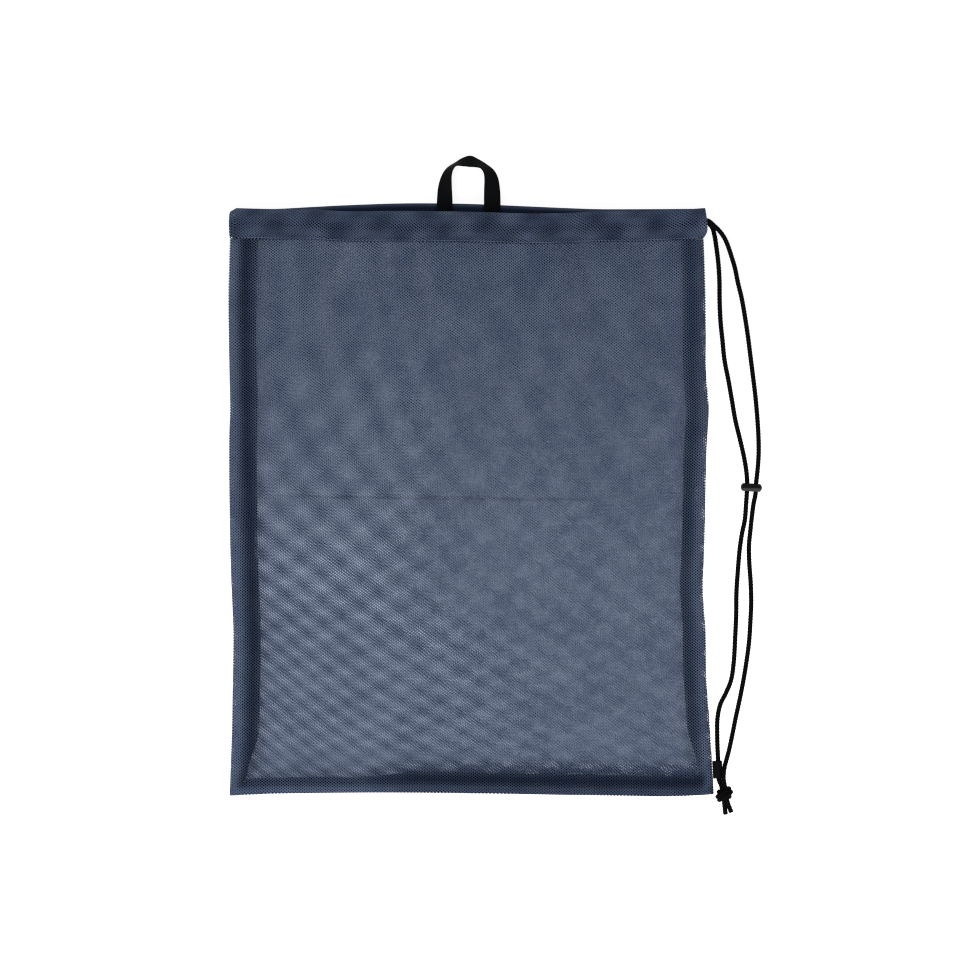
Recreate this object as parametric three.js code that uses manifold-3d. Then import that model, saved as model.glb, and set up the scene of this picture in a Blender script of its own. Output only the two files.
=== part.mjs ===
// Flat mesh swim bag with a drawcord, lying on its back with its mouth a little open.
// Millimetres, +Z up. +X runs across the bag and +Y from its bottom seam to its mouth.
// The origin is the middle of the underside, on the surface that the bag lies on.
import * as THREE from "three";
import { mergeVertices } from "three/addons/utils/BufferGeometryUtils.js";
import Module from "manifold-3d";

const wasm = await Module();
wasm.setup();
const { clamp, degToRad, lerp, smoothstep } = THREE.MathUtils;
const { abs, cos, exp, sign, sin, PI } = Math;

// Cloth, tape and cord
const CLOTH = 1.0; // one ply of mesh
const GAP = 0.3; // clearance between neighbouring pieces
const CORD_DIAMETER = 4.0;
const CORD_SIDES = 8;
const WEBBING = 1.4; // thickness of the hang loop's webbing
const TAB_TAPE = 1.2; // thickness of the side tab's tape

// Hem: a flat tunnel that the cord runs in
const HEM_HEIGHT = 29;
const HEM_THICK = 7.2;
const HEM_FULLNESS = 0.6; // below 1 the section is fuller than an ellipse
const HEM_TIP_WALL = 2.2; // stitched cloth at the section's two tips
const HEM_LEFT_END = -226.6;
const HEM_RIGHT_END = 226.5;
const HEM_CORNER = 0.2; // share by which the upper corner is drawn down at the left end
const CORD_HEM_END = 224.5; // the free strands begin here

// Right ends of the hem: place up its half height, and how far the end stands out there.
const HEM_ENDS = [
  { up: -1, out: -3 },
  { up: -0.7, out: -0.2 },
  { up: -0.38, out: 1 },
  { up: 0.4, out: 0.1 },
  { up: 1, out: -1.3 },
];

// Mouth: the front rim stands above the back one between the two ends of the opening
const MOUTH_MIDDLE = 19;
const MOUTH_HALF = 155;
const MOUTH_LIFT = 8;

// Fullness of the front panel over the hollow
const CROWN = 9.6; // height of the lower panel's middle surface
const MOUTH_SLOPE = 170; // length over which the panel rises to the lifted hem
const SEAM_ROLL = 3; // the cloth turns up from the seam over about this length
const SEAM_ROLL_SHARE = 0.35;
const SEAM_SLOPE = 40; // and then rises to the crown over about this length

// Seam allowances: folded edges that lie inside the seams. The side ones narrow towards the bottom corners,
// and the bottom one is broader from its second row of the table on.
const SEAM_THICK = 1.8;
const SIDE_SEAMS = { left: { inset: 8, width: 18 }, right: { inset: 7, width: 14.5 } };
const SEAM_CORNER = { share: 0.4, length: 50 };
const BOTTOM_SEAM = [
  { x: -110, inset: 5, width: 10 },
  { x: -40, inset: 3.8, width: 15.5 },
];

// Side edges of the panels, from the bottom seam to the hem.
const SIDE_EDGES = [
  { y: -280, left: -226, right: 234 },
  { y: -236, left: -224.5, right: 231.5 },
  { y: -205, left: -223.5, right: 229.5 },
  { y: -170, left: -223, right: 227 },
  { y: -122, left: -222.5, right: 226 },
  { y: -84, left: -224, right: 223.5 },
  { y: -40, left: -225.5, right: 225 },
  { y: 48, left: -226.5, right: 227 },
  { y: 87, left: -225.5, right: 229 },
  { y: 120, left: -226, right: 226.5 },
  { y: 190, left: -227, right: 226 },
  { y: 250, left: -225.5, right: 224 },
];

// Bottom edge, from the left corner to the right one.
const BOTTOM_EDGE = [
  { x: -228, y: -279.5 },
  { x: -180, y: -277.5 },
  { x: -80, y: -276.5 },
  { x: 20, y: -277.5 },
  { x: 145, y: -279.5 },
  { x: 195, y: -280 },
  { x: 236, y: -278 },
];

// Upper edge of the hem on the back and on the front of the mouth.
const RIMS = [
  { x: -228, back: 278.5, front: 278.5 },
  { x: -190, back: 278, front: 277.5 },
  { x: -145, back: 280.2, front: 277.2 },
  { x: -120, back: 281.5, front: 275.4 },
  { x: -60, back: 283.5, front: 275 },
  { x: 0, back: 283, front: 274.2 },
  { x: 60, back: 280.5, front: 272.6 },
  { x: 95, back: 279, front: 273.2 },
  { x: 125, back: 278, front: 274.8 },
  { x: 165, back: 278, front: 275.4 },
  { x: 200, back: 278.2, front: 276.8 },
  { x: 230, back: 278.5, front: 278.5 },
];

// Gathers that hang from the front hem: place across, half width, length and height.
const GATHERS = [
  { x: -196, width: 13, length: 110, height: -1.1 },
  { x: -160, width: 15, length: 150, height: 1.2 },
  { x: -118, width: 16, length: 130, height: -1.2 },
  { x: -72, width: 17, length: 150, height: 1.1 },
  { x: -20, width: 18, length: 120, height: -1.0 },
  { x: 45, width: 20, length: 110, height: -0.9 },
  { x: 110, width: 18, length: 140, height: 1.1 },
  { x: 165, width: 16, length: 150, height: -1.2 },
];

// Broad soft dents and swells of the front panel: middle, half sizes and height.
const DENTS = [
  { x: -105, y: -150, across: 80, along: 45, height: 1.2 },
  { x: 85, y: -238, across: 62, along: 16, height: -2.2 },
  { x: 40, y: -120, across: 60, along: 70, height: -1.1 },
  { x: 150, y: -60, across: 45, along: 80, height: 1.2 },
  { x: -60, y: 40, across: 75, along: 60, height: -0.9 },
];

// Hang loop: the outer and inner edges of its webbing, from the left leg over the top to the right leg.
const LOOP_EDGES = [
  { outer: [-29.2, 262, 8.3], inner: [-14.2, 262, 8.3] },
  { outer: [-29, 286, 7.6], inner: [-14.2, 286, 8.1] },
  { outer: [-27.5, 300, 4.4], inner: [-15, 300, 10.2] },
  { outer: [-24, 310.5, 2.2], inner: [-15, 309.5, 13] },
  { outer: [-19.5, 317, 1.3], inner: [-13.6, 314.6, 14.2] },
  { outer: [-12, 322, 1.1], inner: [-10.8, 318, 14.6] },
  { outer: [-4.5, 326.6, 1.1], inner: [-4.3, 318, 12.8] },
  { outer: [2.8, 328.6, 1.1], inner: [2.4, 317.4, 11.2] },
  { outer: [10.2, 325.4, 1.1], inner: [8, 317, 12.6] },
  { outer: [18.5, 320.2, 1.1], inner: [12.8, 315.6, 14] },
  { outer: [25.2, 314.6, 1.4], inner: [15.6, 311, 12.6] },
  { outer: [29, 307, 2.6], inner: [16.2, 305, 10.4] },
  { outer: [30.8, 296, 5.2], inner: [15.8, 296, 9.2] },
  { outer: [31.4, 284, 7.8], inner: [15.6, 284, 8.2] },
  { outer: [31, 262, 8.3], inner: [15.8, 262, 8.3] },
];

// Side tab: a folded loop of tape at the right edge
const TAB_Y = -255;
const TAB_LENGTH = 16.5; // along the seam
const TAB_BEND = 2.6; // inner radius of the fold, which holds the cord
const TAB_REACH = 5.1; // from the panel's edge to the middle of the fold

// Cord bead: an oblong with two holes, lying across both strands
const BEAD = { x: 269.6, y: 13.3, turn: -3.5, length: 20.3, depth: 7.8, height: 9 };
const BEAD_HOLE = { diameter: 5.2, apart: 8.6 };
const BEAD_ROUND = 1.6;

// Cord knot: a wrap of two turns round a core, with two tails
const KNOT = { x: 243.7, y: -277.9, z: 6.3, turn: 30 };
const KNOT_WRAP = { inner: 2.6, outer: 8.6, half: 4.2, round: 2.1, flatten: 0.72 };
const KNOT_CORE = { across: 4.4, along: 9.0, up: 4.2 };

const CORD_RADIUS = CORD_DIAMETER / 2;
const HEM_MIDDLE = HEM_THICK / 2; // height of the back run's middle
const FRONT_HEM_LOW = 1.5 * HEM_THICK + GAP; // the front run's middle where it lies on the back run
const HEM_SETTLE = 1 - CLOTH / HEM_THICK; // how far the back run's two tips sink to the surface
const TURN_RADIUS = (FRONT_HEM_LOW - HEM_MIDDLE) / 2;
const TURN_HEIGHT = (FRONT_HEM_LOW + HEM_MIDDLE) / 2;

// Route of the cord inside the hem: distance of its middle from the hem's middle line, towards the rim.
const CORD_ON_FRONT = [
  { x: -218, side: -6.3 },
  { x: -120, side: -4 },
  { x: 30, side: -6 },
  { x: 150, side: -5 },
  { x: 227, side: 3 },
];
const CORD_ON_BACK = [
  { x: -218, side: 6.3 },
  { x: -60, side: 4 },
  { x: 120, side: 2 },
  { x: 227, side: 0.8 },
];

// Free strand from the back run: beside the bag, through the bead and the tab, to the knot.
const INNER_STRAND = [
  [225.4, 264.6, 3.6], [228.6, 264.4, 3.6], [232.6, 260.2, 3], [234.8, 252.5, 2.3], [236.9, 239, 2.1],
  [238.5, 225, 2.1], [239.4, 210, 2.1], [239.6, 191, 2.1], [240.4, 172, 2.1], [242.3, 153, 2.1],
  [244.3, 134, 2.1], [248, 115, 2.1], [251.3, 96, 2.1], [254.6, 77, 2.1], [259.2, 58, 2.1],
  [262.8, 42, 2.2], [264.9, 29, 3.4], [265.6, 18.5, 4.5], [265.3, 8, 4.5], [264.7, -2, 3.5],
  [263.6, -17, 2.2], [260.6, -32, 2.1], [258.4, -48, 2.1], [257, -65, 2.1], [255.6, -86, 2.1],
  [255.3, -108, 2.1], [254.3, -131, 2.1], [253, -153, 2.1], [250.4, -170, 2.1], [245.6, -182, 2.1],
  [240.2, -193, 2.1], [237.6, -206, 2.1], [237.3, -222, 2.1], [237.6, -235, 2.8], [238.1, -246, 3.7],
  [238.5, -256, 3.8], [238.9, -264.4, 3.8], [240.9, -269.5, 5.2],
];

// Free strand from the front run: over the other strand, through the bead and past the tab, to the knot.
const OUTER_STRAND = [
  [225.4, 266.6, 11.1], [228.4, 266, 11.1], [233.4, 262, 10.1], [239.6, 256.2, 8], [244.4, 249.4, 5.8],
  [247.9, 241.5, 4], [250.8, 233, 2.7], [254, 222.5, 2.1], [257, 208, 2.1], [260.6, 193, 2.1],
  [263.6, 176, 2.1], [266.5, 157, 2.1], [268.9, 138, 2.1], [271.3, 119, 2.1], [273.6, 100, 2.1],
  [275.3, 81, 2.1], [276.5, 62, 2.1], [276.7, 46, 2.2], [275.7, 31, 3.4], [274.2, 18, 4.5],
  [273.6, 7.5, 4.5], [271.8, -2, 3.6], [270.3, -14, 2.3], [268.8, -28, 2.1], [267.5, -42, 2.1],
  [267.8, -58, 2.1], [269.1, -77, 2.1], [269.6, -96, 2.1], [268.8, -115, 2.1], [267.5, -134, 2.1],
  [265, -153, 2.1], [262.2, -170, 2.1], [258.7, -188, 2.1], [254.8, -206, 2.1], [251.6, -222, 2.1],
  [248.6, -236, 2.4], [246, -245, 4.8], [244, -252, 7.2], [243.1, -258, 8.1], [242.9, -263, 8.3],
  [243.7, -268, 7.4],
];

// Tails below the knot.
const TAILS = [
  [[243.4, -280, 5.4], [244, -287, 3.4], [244.6, -292, 2.3], [245.3, -298, 2.1]],
  [[245.6, -280, 5.4], [247.4, -287, 3.4], [249, -291, 2.3], [250.9, -296, 2.1]],
];

// A smooth function through the rows of a table: a cubic piece between each two rows, with shared slopes.
function through(rows, key, value) {
  const slopes = rows.map((row, i) => {
    const before = rows[Math.max(i - 1, 0)];
    const after = rows[Math.min(i + 1, rows.length - 1)];
    return (after[value] - before[value]) / (after[key] - before[key]);
  });
  return (t) => {
    const next = rows.findIndex((row) => row[key] > t);
    const i = next < 0 ? rows.length - 1 : Math.max(next, 1);
    const span = rows[i][key] - rows[i - 1][key];
    const s = clamp((t - rows[i - 1][key]) / span, 0, 1);
    const rise = s * s * (3 - 2 * s);
    const leave = s * (1 - s) * (1 - s) * slopes[i - 1] * span;
    const arrive = s * s * (s - 1) * slopes[i] * span;
    return lerp(rows[i - 1][value], rows[i][value], rise) + leave + arrive;
  };
}

const leftEdge = through(SIDE_EDGES, "y", "left");
const rightEdge = through(SIDE_EDGES, "y", "right");
const bottomEdge = through(BOTTOM_EDGE, "x", "y");
const backRim = through(RIMS, "x", "back");
const frontRim = through(RIMS, "x", "front");
const backStitch = (x) => backRim(x) - HEM_HEIGHT;
const frontStitch = (x) => frontRim(x) - HEM_HEIGHT;
const cordOnFront = through(CORD_ON_FRONT, "x", "side");
const cordOnBack = through(CORD_ON_BACK, "x", "side");
const hemEnd = through(HEM_ENDS, "up", "out");

const fromSide = (x, y) => Math.max(Math.min(x - leftEdge(y), rightEdge(y) - x), 0);

// Distance from the nearest of two seams, rounded where they meet in a corner.
const CORNER = 4; // the higher, the sharper the corner
const fromCorner = (a, b) => (a > 0 && b > 0 ? (a ** -CORNER + b ** -CORNER) ** (-1 / CORNER) : 0);

// Height of the front hem's middle line.
function frontHemHeight(x) {
  const t = clamp((x - MOUTH_MIDDLE) / MOUTH_HALF, -1, 1);
  return FRONT_HEM_LOW + MOUTH_LIFT * (1 - t ** 4) ** 2;
}

// Middle surfaces of the back panel, which lies flat, and of the front panel at the seams.
const BACK_LEVEL = CLOTH / 2;
const FRONT_AT_SEAM = BACK_LEVEL + CLOTH + GAP;

// Share of the full height that the front panel has at a distance from a seam.
function swell(distance) {
  const roll = 1 - exp(-distance / SEAM_ROLL);
  const slope = 1 - exp(-distance / SEAM_SLOPE);
  return SEAM_ROLL_SHARE * roll + (1 - SEAM_ROLL_SHARE) * slope;
}

// A gather swells as s²(1 - s) along its length, and this is the most that the product reaches.
const GATHER_PEAK = 4 / 27;

// Height of the front panel's middle surface over the hollow, with its gathers and dents.
function frontHeight(x, y) {
  const hemLine = frontStitch(x);
  const toHem = smoothstep(y, hemLine - MOUTH_SLOPE, hemLine);
  const inward = fromCorner(fromSide(x, y), y - bottomEdge(x));
  const share = lerp(swell(inward), 1 - exp(-inward / SEAM_ROLL), toHem ** 4);
  let crown = lerp(CROWN, frontHemHeight(x), toHem);
  for (const gather of GATHERS) {
    const s = clamp((y - hemLine + gather.length) / gather.length, 0, 1);
    const fade = (s * s * (1 - s)) / GATHER_PEAK;
    crown += gather.height * fade * exp(-(((x - gather.x) / gather.width) ** 2));
  }
  for (const dent of DENTS) {
    crown += dent.height * exp(-(((x - dent.x) / dent.across) ** 2) - ((y - dent.y) / dent.along) ** 2);
  }
  return lerp(FRONT_AT_SEAM, crown, share);
}

// A geometry from points and triangles, turned so that its faces point outwards.
function closedGeometry(points, triangles) {
  let volume = 0;
  for (const [a, b, c] of triangles) {
    volume += points[a].dot(points[b].clone().cross(points[c]));
  }
  const outward = volume > 0 ? triangles : triangles.map(([a, b, c]) => [a, c, b]);
  const geometry = new THREE.BufferGeometry().setFromPoints(points);
  geometry.setIndex(outward.flat());
  geometry.computeVertexNormals();
  return geometry;
}

const quad = (a, b, c, d) => [[a, b, c], [a, c, d]];

// A sheet of even thickness whose middle surface is a grid of points.
function sheetGeometry(columns, rows, pointAt, thickness) {
  const width = columns + 1;
  const count = width * (rows + 1);
  const middle = Array.from({ length: count }, (_, n) => pointAt(n % width, Math.floor(n / width)));
  const at = (i, j) => middle[clamp(j, 0, rows) * width + clamp(i, 0, columns)];
  const half = middle.map((_, n) => {
    const i = n % width;
    const j = Math.floor(n / width);
    const across = at(i + 1, j).clone().sub(at(i - 1, j));
    const along = at(i, j + 1).clone().sub(at(i, j - 1));
    return across.cross(along).setLength(thickness / 2);
  });
  const upper = middle.map((p, n) => p.clone().add(half[n]));
  const lower = middle.map((p, n) => p.clone().sub(half[n]));
  const index = (i, j) => j * width + i;
  const triangles = [];
  for (let j = 0; j < rows; j++) {
    for (let i = 0; i < columns; i++) {
      const [a, b, c, d] = [index(i, j), index(i + 1, j), index(i + 1, j + 1), index(i, j + 1)];
      triangles.push(...quad(a, b, c, d), ...quad(a + count, d + count, c + count, b + count));
    }
  }
  const columnIndices = Array.from({ length: columns }, (_, i) => i);
  const rowIndices = Array.from({ length: rows }, (_, j) => j);
  const rim = [
    ...columnIndices.map((i) => index(i, 0)),
    ...rowIndices.map((j) => index(columns, j)),
    ...columnIndices.map((i) => index(columns - i, rows)),
    ...rowIndices.map((j) => index(0, rows - j)),
  ];
  rim.forEach((a, n) => {
    const b = rim[(n + 1) % rim.length];
    triangles.push(...quad(b, a, a + count, b + count));
  });
  return closedGeometry([...upper, ...lower], triangles);
}

// A hollow tunnel, open at both ends, whose wall lies between two sets of rings.
function tunnelGeometry(outerRings, innerRings) {
  const sides = outerRings[0].length;
  const last = outerRings.length - 1;
  const count = sides * outerRings.length;
  const triangles = [];
  for (let k = 0; k < sides; k++) {
    const next = (k + 1) % sides;
    for (let r = 0; r < last; r++) {
      const low = r * sides;
      const high = low + sides;
      const [a, b, c, d] = [low + k, low + next, high + next, high + k];
      triangles.push(...quad(a, b, c, d), ...quad(a + count, d + count, c + count, b + count));
    }
    const end = last * sides;
    triangles.push(...quad(next, k, k + count, next + count));
    triangles.push(...quad(end + k, end + next, end + next + count, end + k + count));
  }
  return closedGeometry([...outerRings.flat(), ...innerRings.flat()], triangles);
}

// A round cord through points that lie close together at its bends, with flat ends.
function closeCordGeometry(points) {
  const last = points.length - 1;
  let normal = new THREE.Vector3(0, 1, 0);
  const rings = points.map((point, n) => {
    const ahead = points[Math.min(n + 1, last)].clone().sub(points[Math.max(n - 1, 0)]).normalize();
    normal = normal.clone().addScaledVector(ahead, -normal.dot(ahead)).normalize();
    const side = ahead.clone().cross(normal);
    return Array.from({ length: CORD_SIDES }, (_, k) => {
      const angle = (2 * PI * k) / CORD_SIDES;
      const offset = normal.clone().multiplyScalar(cos(angle)).addScaledVector(side, sin(angle));
      return point.clone().addScaledVector(offset, CORD_RADIUS);
    });
  });
  const end = last * CORD_SIDES;
  const triangles = [];
  for (let k = 0; k < CORD_SIDES; k++) {
    const next = (k + 1) % CORD_SIDES;
    for (let r = 0; r < last; r++) {
      const low = r * CORD_SIDES;
      triangles.push(...quad(low + k, low + next, low + CORD_SIDES + next, low + CORD_SIDES + k));
    }
    if (k > 0 && next > 0) {
      triangles.push([0, next, k], [end, end + k, end + next]);
    }
  }
  return closedGeometry(rings.flat(), triangles);
}

// A smooth open curve through hand-laid points.
function curveThrough(places) {
  const points = places.map((place) => new THREE.Vector3(...place));
  return new THREE.CatmullRomCurve3(points, false, "centripetal");
}

// A round cord along a smooth curve through hand-laid points.
function cordGeometry(route, steps) {
  const section = new THREE.Shape().absarc(0, 0, CORD_RADIUS, 0, 2 * PI);
  return new THREE.ExtrudeGeometry(section, {
    steps,
    extrudePath: curveThrough(route),
    curveSegments: CORD_SIDES / 2,
  });
}

// Places along a length, as shares of it: close together near both ends and even between them.
function spread(length, middleCells) {
  const nearEdge = [0, 1.5, 4, 8, 14, 22];
  const first = nearEdge.at(-1);
  const step = (length - 2 * first) / middleCells;
  const middle = Array.from({ length: middleCells - 1 }, (_, n) => first + step * (n + 1));
  const farEdge = nearEdge.map((d) => length - d).reverse();
  return [...nearEdge, ...middle, ...farEdge].map((d) => d / length);
}

// A panel between the side edges, the bottom edge and a stitch line under the hem.
function panelGeometry(stitch, heightAt, middleColumns, middleRows) {
  const across = spread(rightEdge(0) - leftEdge(0), middleColumns);
  const along = spread(stitch(0) - bottomEdge(0), middleRows);
  const pointAt = (i, j) => {
    const level = lerp(bottomEdge(0), stitch(0), along[j]);
    const x = lerp(leftEdge(level), rightEdge(level), across[i]);
    const y = lerp(bottomEdge(x), stitch(x) - 2 * GAP, along[j]);
    return new THREE.Vector3(x, y, heightAt(x, y));
  };
  return sheetGeometry(across.length - 1, along.length - 1, pointAt, CLOTH);
}

// A seam allowance lies on the back panel, inside the seam.
const SEAM_LEVEL = CLOTH + 1.5 * GAP + SEAM_THICK / 2;
const SEAM_CELLS = { across: 2, along: 20 };

// Distance from a side edge, at a height above the corner, and from the bottom edge, at x, of a place s across
// the allowance there.
function seamInward(seam, s, height) {
  return seam.inset + s * seam.width * lerp(SEAM_CORNER.share, 1, smoothstep(height, 0, SEAM_CORNER.length));
}
function seamUpward(x, s) {
  const [left, right] = BOTTOM_SEAM;
  const share = smoothstep(x, left.x, right.x);
  return lerp(left.inset, right.inset, share) + s * lerp(left.width, right.width, share);
}

// The side allowance runs from a mitre at the bottom corner to the hem.
// Side is -1 on the left and 1 on the right.
function sideSeamGeometry(side) {
  const edge = side < 0 ? leftEdge : rightEdge;
  const seam = side < 0 ? SIDE_SEAMS.left : SIDE_SEAMS.right;
  const [low, high] = [SIDE_EDGES[0].y, SIDE_EDGES.at(-1).y];
  const pointAt = (i, j) => {
    const s = i / SEAM_CELLS.across;
    const cornerX = edge(low) - side * seamInward(seam, s, 0);
    const bottom = bottomEdge(cornerX) + seamUpward(cornerX, s) + 2 * GAP;
    const top = backStitch(edge(high) - side * (seam.inset + s * seam.width)) - 2 * GAP;
    const y = lerp(bottom, top, j / SEAM_CELLS.along);
    const x = edge(y) - side * seamInward(seam, s, y - bottom);
    return new THREE.Vector3(x, y, SEAM_LEVEL);
  };
  return sheetGeometry(SEAM_CELLS.across, SEAM_CELLS.along, pointAt, SEAM_THICK);
}

// The bottom allowance runs between the two mitres.
function bottomSeamGeometry() {
  const pointAt = (i, j) => {
    const s = j / SEAM_CELLS.across;
    const level = bottomEdge(0) + seamUpward(0, s);
    const left = leftEdge(level) + seamInward(SIDE_SEAMS.left, s, 0) + 2 * GAP;
    const right = rightEdge(level) - seamInward(SIDE_SEAMS.right, s, 0) - 2 * GAP;
    const x = lerp(left, right, i / SEAM_CELLS.along);
    const y = bottomEdge(x) + seamUpward(x, s);
    return new THREE.Vector3(x, y, SEAM_LEVEL);
  };
  return sheetGeometry(SEAM_CELLS.along, SEAM_CELLS.across, pointAt, SEAM_THICK);
}

// Stations along the hem: down the front run to the left end, round it, and back along the back run.
const HEM_TURN_X = HEM_LEFT_END + TURN_RADIUS + HEM_MIDDLE;
const HEM_CELLS = { run: 18, turn: 8, round: 10 };

function hemStations(rightEnd) {
  const { run, turn } = HEM_CELLS;
  const stations = [];
  for (let n = 0; n <= run; n++) {
    const x = n > 0 ? lerp(HEM_RIGHT_END, HEM_TURN_X, n / run) : rightEnd;
    const cord = cordOnFront(x);
    stations.push({ x, z: frontHemHeight(x), out: PI / 2, settle: 0, rim: frontRim(x), cord });
  }
  for (let n = 1; n < turn; n++) {
    const share = n / turn;
    const out = PI / 2 + PI * share;
    const x = HEM_TURN_X + TURN_RADIUS * cos(out);
    const rim = lerp(frontRim(HEM_TURN_X), backRim(HEM_TURN_X), share);
    const cord = lerp(cordOnFront(HEM_TURN_X), cordOnBack(HEM_TURN_X), share);
    stations.push({ x, z: TURN_HEIGHT + TURN_RADIUS * sin(out), out, settle: share, rim, cord });
  }
  for (let n = 0; n <= run; n++) {
    const x = n < run ? lerp(HEM_TURN_X, HEM_RIGHT_END, n / run) : rightEnd;
    stations.push({ x, z: HEM_MIDDLE, out: 1.5 * PI, settle: 1, rim: backRim(x), cord: cordOnBack(x) });
  }
  return stations;
}

// A ring of the hem's lens-shaped section at a station. The tips of the back run settle to the surface, the
// upper corner is rounded off round the left end, and end is 1 at the two right ends and 0 elsewhere.
function hemRing(station, halfHeight, halfThick, end) {
  const drawnDown = HEM_CORNER * sin(PI * station.settle);
  return Array.from({ length: HEM_CELLS.round }, (_, k) => {
    const angle = (2 * PI * k) / HEM_CELLS.round;
    const along = halfHeight * (cos(angle) - drawnDown * Math.max(cos(angle), 0));
    const full = halfThick * abs(sin(angle)) ** HEM_FULLNESS;
    const off = sign(sin(angle)) * full + station.settle * HEM_SETTLE * (halfThick - full);
    const x = station.x + off * cos(station.out) + end * hemEnd((2 * along) / HEM_HEIGHT);
    return new THREE.Vector3(x, station.rim - HEM_HEIGHT / 2 + along, station.z + off * sin(station.out));
  });
}

function hemGeometry() {
  const stations = hemStations(HEM_RIGHT_END);
  const endAt = (n) => (n === 0 || n === stations.length - 1 ? 1 : 0);
  const outer = stations.map((station, n) => hemRing(station, HEM_HEIGHT / 2, HEM_MIDDLE, endAt(n)));
  const innerHeight = HEM_HEIGHT / 2 - HEM_TIP_WALL;
  const innerThick = HEM_MIDDLE - CLOTH;
  const inner = stations.map((station, n) => hemRing(station, innerHeight, innerThick, endAt(n)));
  return tunnelGeometry(outer, inner);
}

function cordInHemGeometry() {
  const points = hemStations(CORD_HEM_END).map(
    ({ x, z, rim, settle, cord }) =>
      new THREE.Vector3(x, rim - HEM_HEIGHT / 2 + cord, z - settle * GAP),
  );
  return closeCordGeometry(points);
}

// The loop's webbing is ruled between its two edges.
function hangLoopGeometry() {
  const outer = curveThrough(LOOP_EDGES.map((row) => row.outer));
  const inner = curveThrough(LOOP_EDGES.map((row) => row.inner));
  const cells = { across: 3, along: 2 * (LOOP_EDGES.length - 1) };
  const pointAt = (i, j) => {
    const t = j / cells.along;
    return outer.getPoint(t).lerp(inner.getPoint(t), i / cells.across);
  };
  return sheetGeometry(cells.across, cells.along, pointAt, WEBBING);
}

// The tab's profile: both plies of the tape and the fold between them, carried along the seam.
function sideTabGeometry() {
  const foldOuter = TAB_BEND + TAB_TAPE;
  const upperInner = TAB_TAPE + 1.5 * GAP;
  const upperOuter = upperInner + TAB_TAPE;
  // Angle on a round of the fold where the upper ply, coming from the seam, touches it.
  const touch = (end, radius) => {
    const toSeam = new THREE.Vector2(-TAB_REACH, end - foldOuter);
    return toSeam.angle() - Math.acos(radius / toSeam.length());
  };
  const profile = new THREE.Shape();
  profile.moveTo(0, 0);
  profile.lineTo(TAB_REACH, 0);
  profile.absarc(TAB_REACH, foldOuter, foldOuter, -PI / 2, touch(upperOuter, foldOuter), false);
  profile.lineTo(0, upperOuter);
  profile.lineTo(0, upperInner);
  profile.absarc(TAB_REACH, foldOuter, TAB_BEND, touch(upperInner, TAB_BEND), -PI / 2, true);
  profile.lineTo(0, TAB_TAPE);
  profile.closePath();
  const geometry = new THREE.ExtrudeGeometry(profile, {
    depth: TAB_LENGTH,
    bevelEnabled: false,
    curveSegments: 8,
  });
  return geometry.translate(0, 0, -TAB_LENGTH / 2).rotateX(PI / 2);
}

// A closed geometry as a solid that can be joined with others.
function solidOf(geometry) {
  const bare = geometry.clone();
  bare.deleteAttribute("normal");
  bare.deleteAttribute("uv");
  const merged = mergeVertices(bare, 1e-4);
  return new wasm.Manifold(
    new wasm.Mesh({
      numProp: 3,
      vertProperties: merged.attributes.position.array,
      triVerts: new Uint32Array(merged.index.array),
    }),
  );
}

// The geometry of a joined or cut solid.
function geometryOf(solid) {
  const mesh = solid.getMesh();
  const geometry = new THREE.BufferGeometry();
  geometry.setAttribute("position", new THREE.BufferAttribute(mesh.vertProperties, 3));
  geometry.setIndex(new THREE.BufferAttribute(mesh.triVerts, 1));
  geometry.computeVertexNormals();
  return geometry;
}

// The bead: an oblong with rounded edges and two holes that the strands pass through.
function beadGeometry() {
  const radius = BEAD.height / 2;
  const reach = BEAD.length / 2 - radius;
  const section = new THREE.Shape();
  section.absarc(reach, 0, radius, -PI / 2, PI / 2, false);
  section.absarc(-reach, 0, radius, PI / 2, 1.5 * PI, false);
  const oblong = new THREE.ExtrudeGeometry(section, {
    depth: BEAD.depth - 2 * BEAD_ROUND,
    bevelThickness: BEAD_ROUND,
    bevelSize: BEAD_ROUND,
    bevelOffset: -BEAD_ROUND,
    bevelSegments: 2,
    curveSegments: 7,
  });
  oblong.translate(0, 0, -BEAD.depth / 2 + BEAD_ROUND).rotateX(PI / 2);
  const holeRadius = BEAD_HOLE.diameter / 2;
  const holes = [-1, 1].map((side) => {
    const hole = new THREE.CylinderGeometry(holeRadius, holeRadius, 2 * BEAD.depth, 12);
    return solidOf(hole.translate((side * BEAD_HOLE.apart) / 2, 0, 0));
  });
  return geometryOf(holes.reduce((rest, hole) => rest.subtract(hole), solidOf(oblong)));
}

// The knot: a flattened wrap round a core, tilted across the cord, with the two tails joined to it.
function knotGeometry() {
  const { inner, outer, half, round, flatten } = KNOT_WRAP;
  const section = new THREE.Path();
  section.moveTo(inner, -half);
  section.lineTo(outer - round, -half);
  section.absarc(outer - round, -half + round, round, -PI / 2, 0, false);
  section.absarc(outer - round, half - round, round, 0, PI / 2, false);
  section.lineTo(inner, half);
  section.lineTo(inner, -half);
  const wrap = new THREE.LatheGeometry(section.getPoints(1), 14);
  wrap.scale(1, 1, flatten).rotateZ(degToRad(KNOT.turn)).translate(KNOT.x, KNOT.y, KNOT.z);
  const core = new THREE.SphereGeometry(1, 10, 8);
  core.scale(KNOT_CORE.across, KNOT_CORE.along, KNOT_CORE.up).translate(KNOT.x, KNOT.y, KNOT.z);
  const tails = TAILS.map((tail) => cordGeometry(tail, 4));
  const joined = [core, ...tails].map(solidOf).reduce((sum, piece) => sum.add(piece), solidOf(wrap));
  return geometryOf(joined);
}

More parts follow.
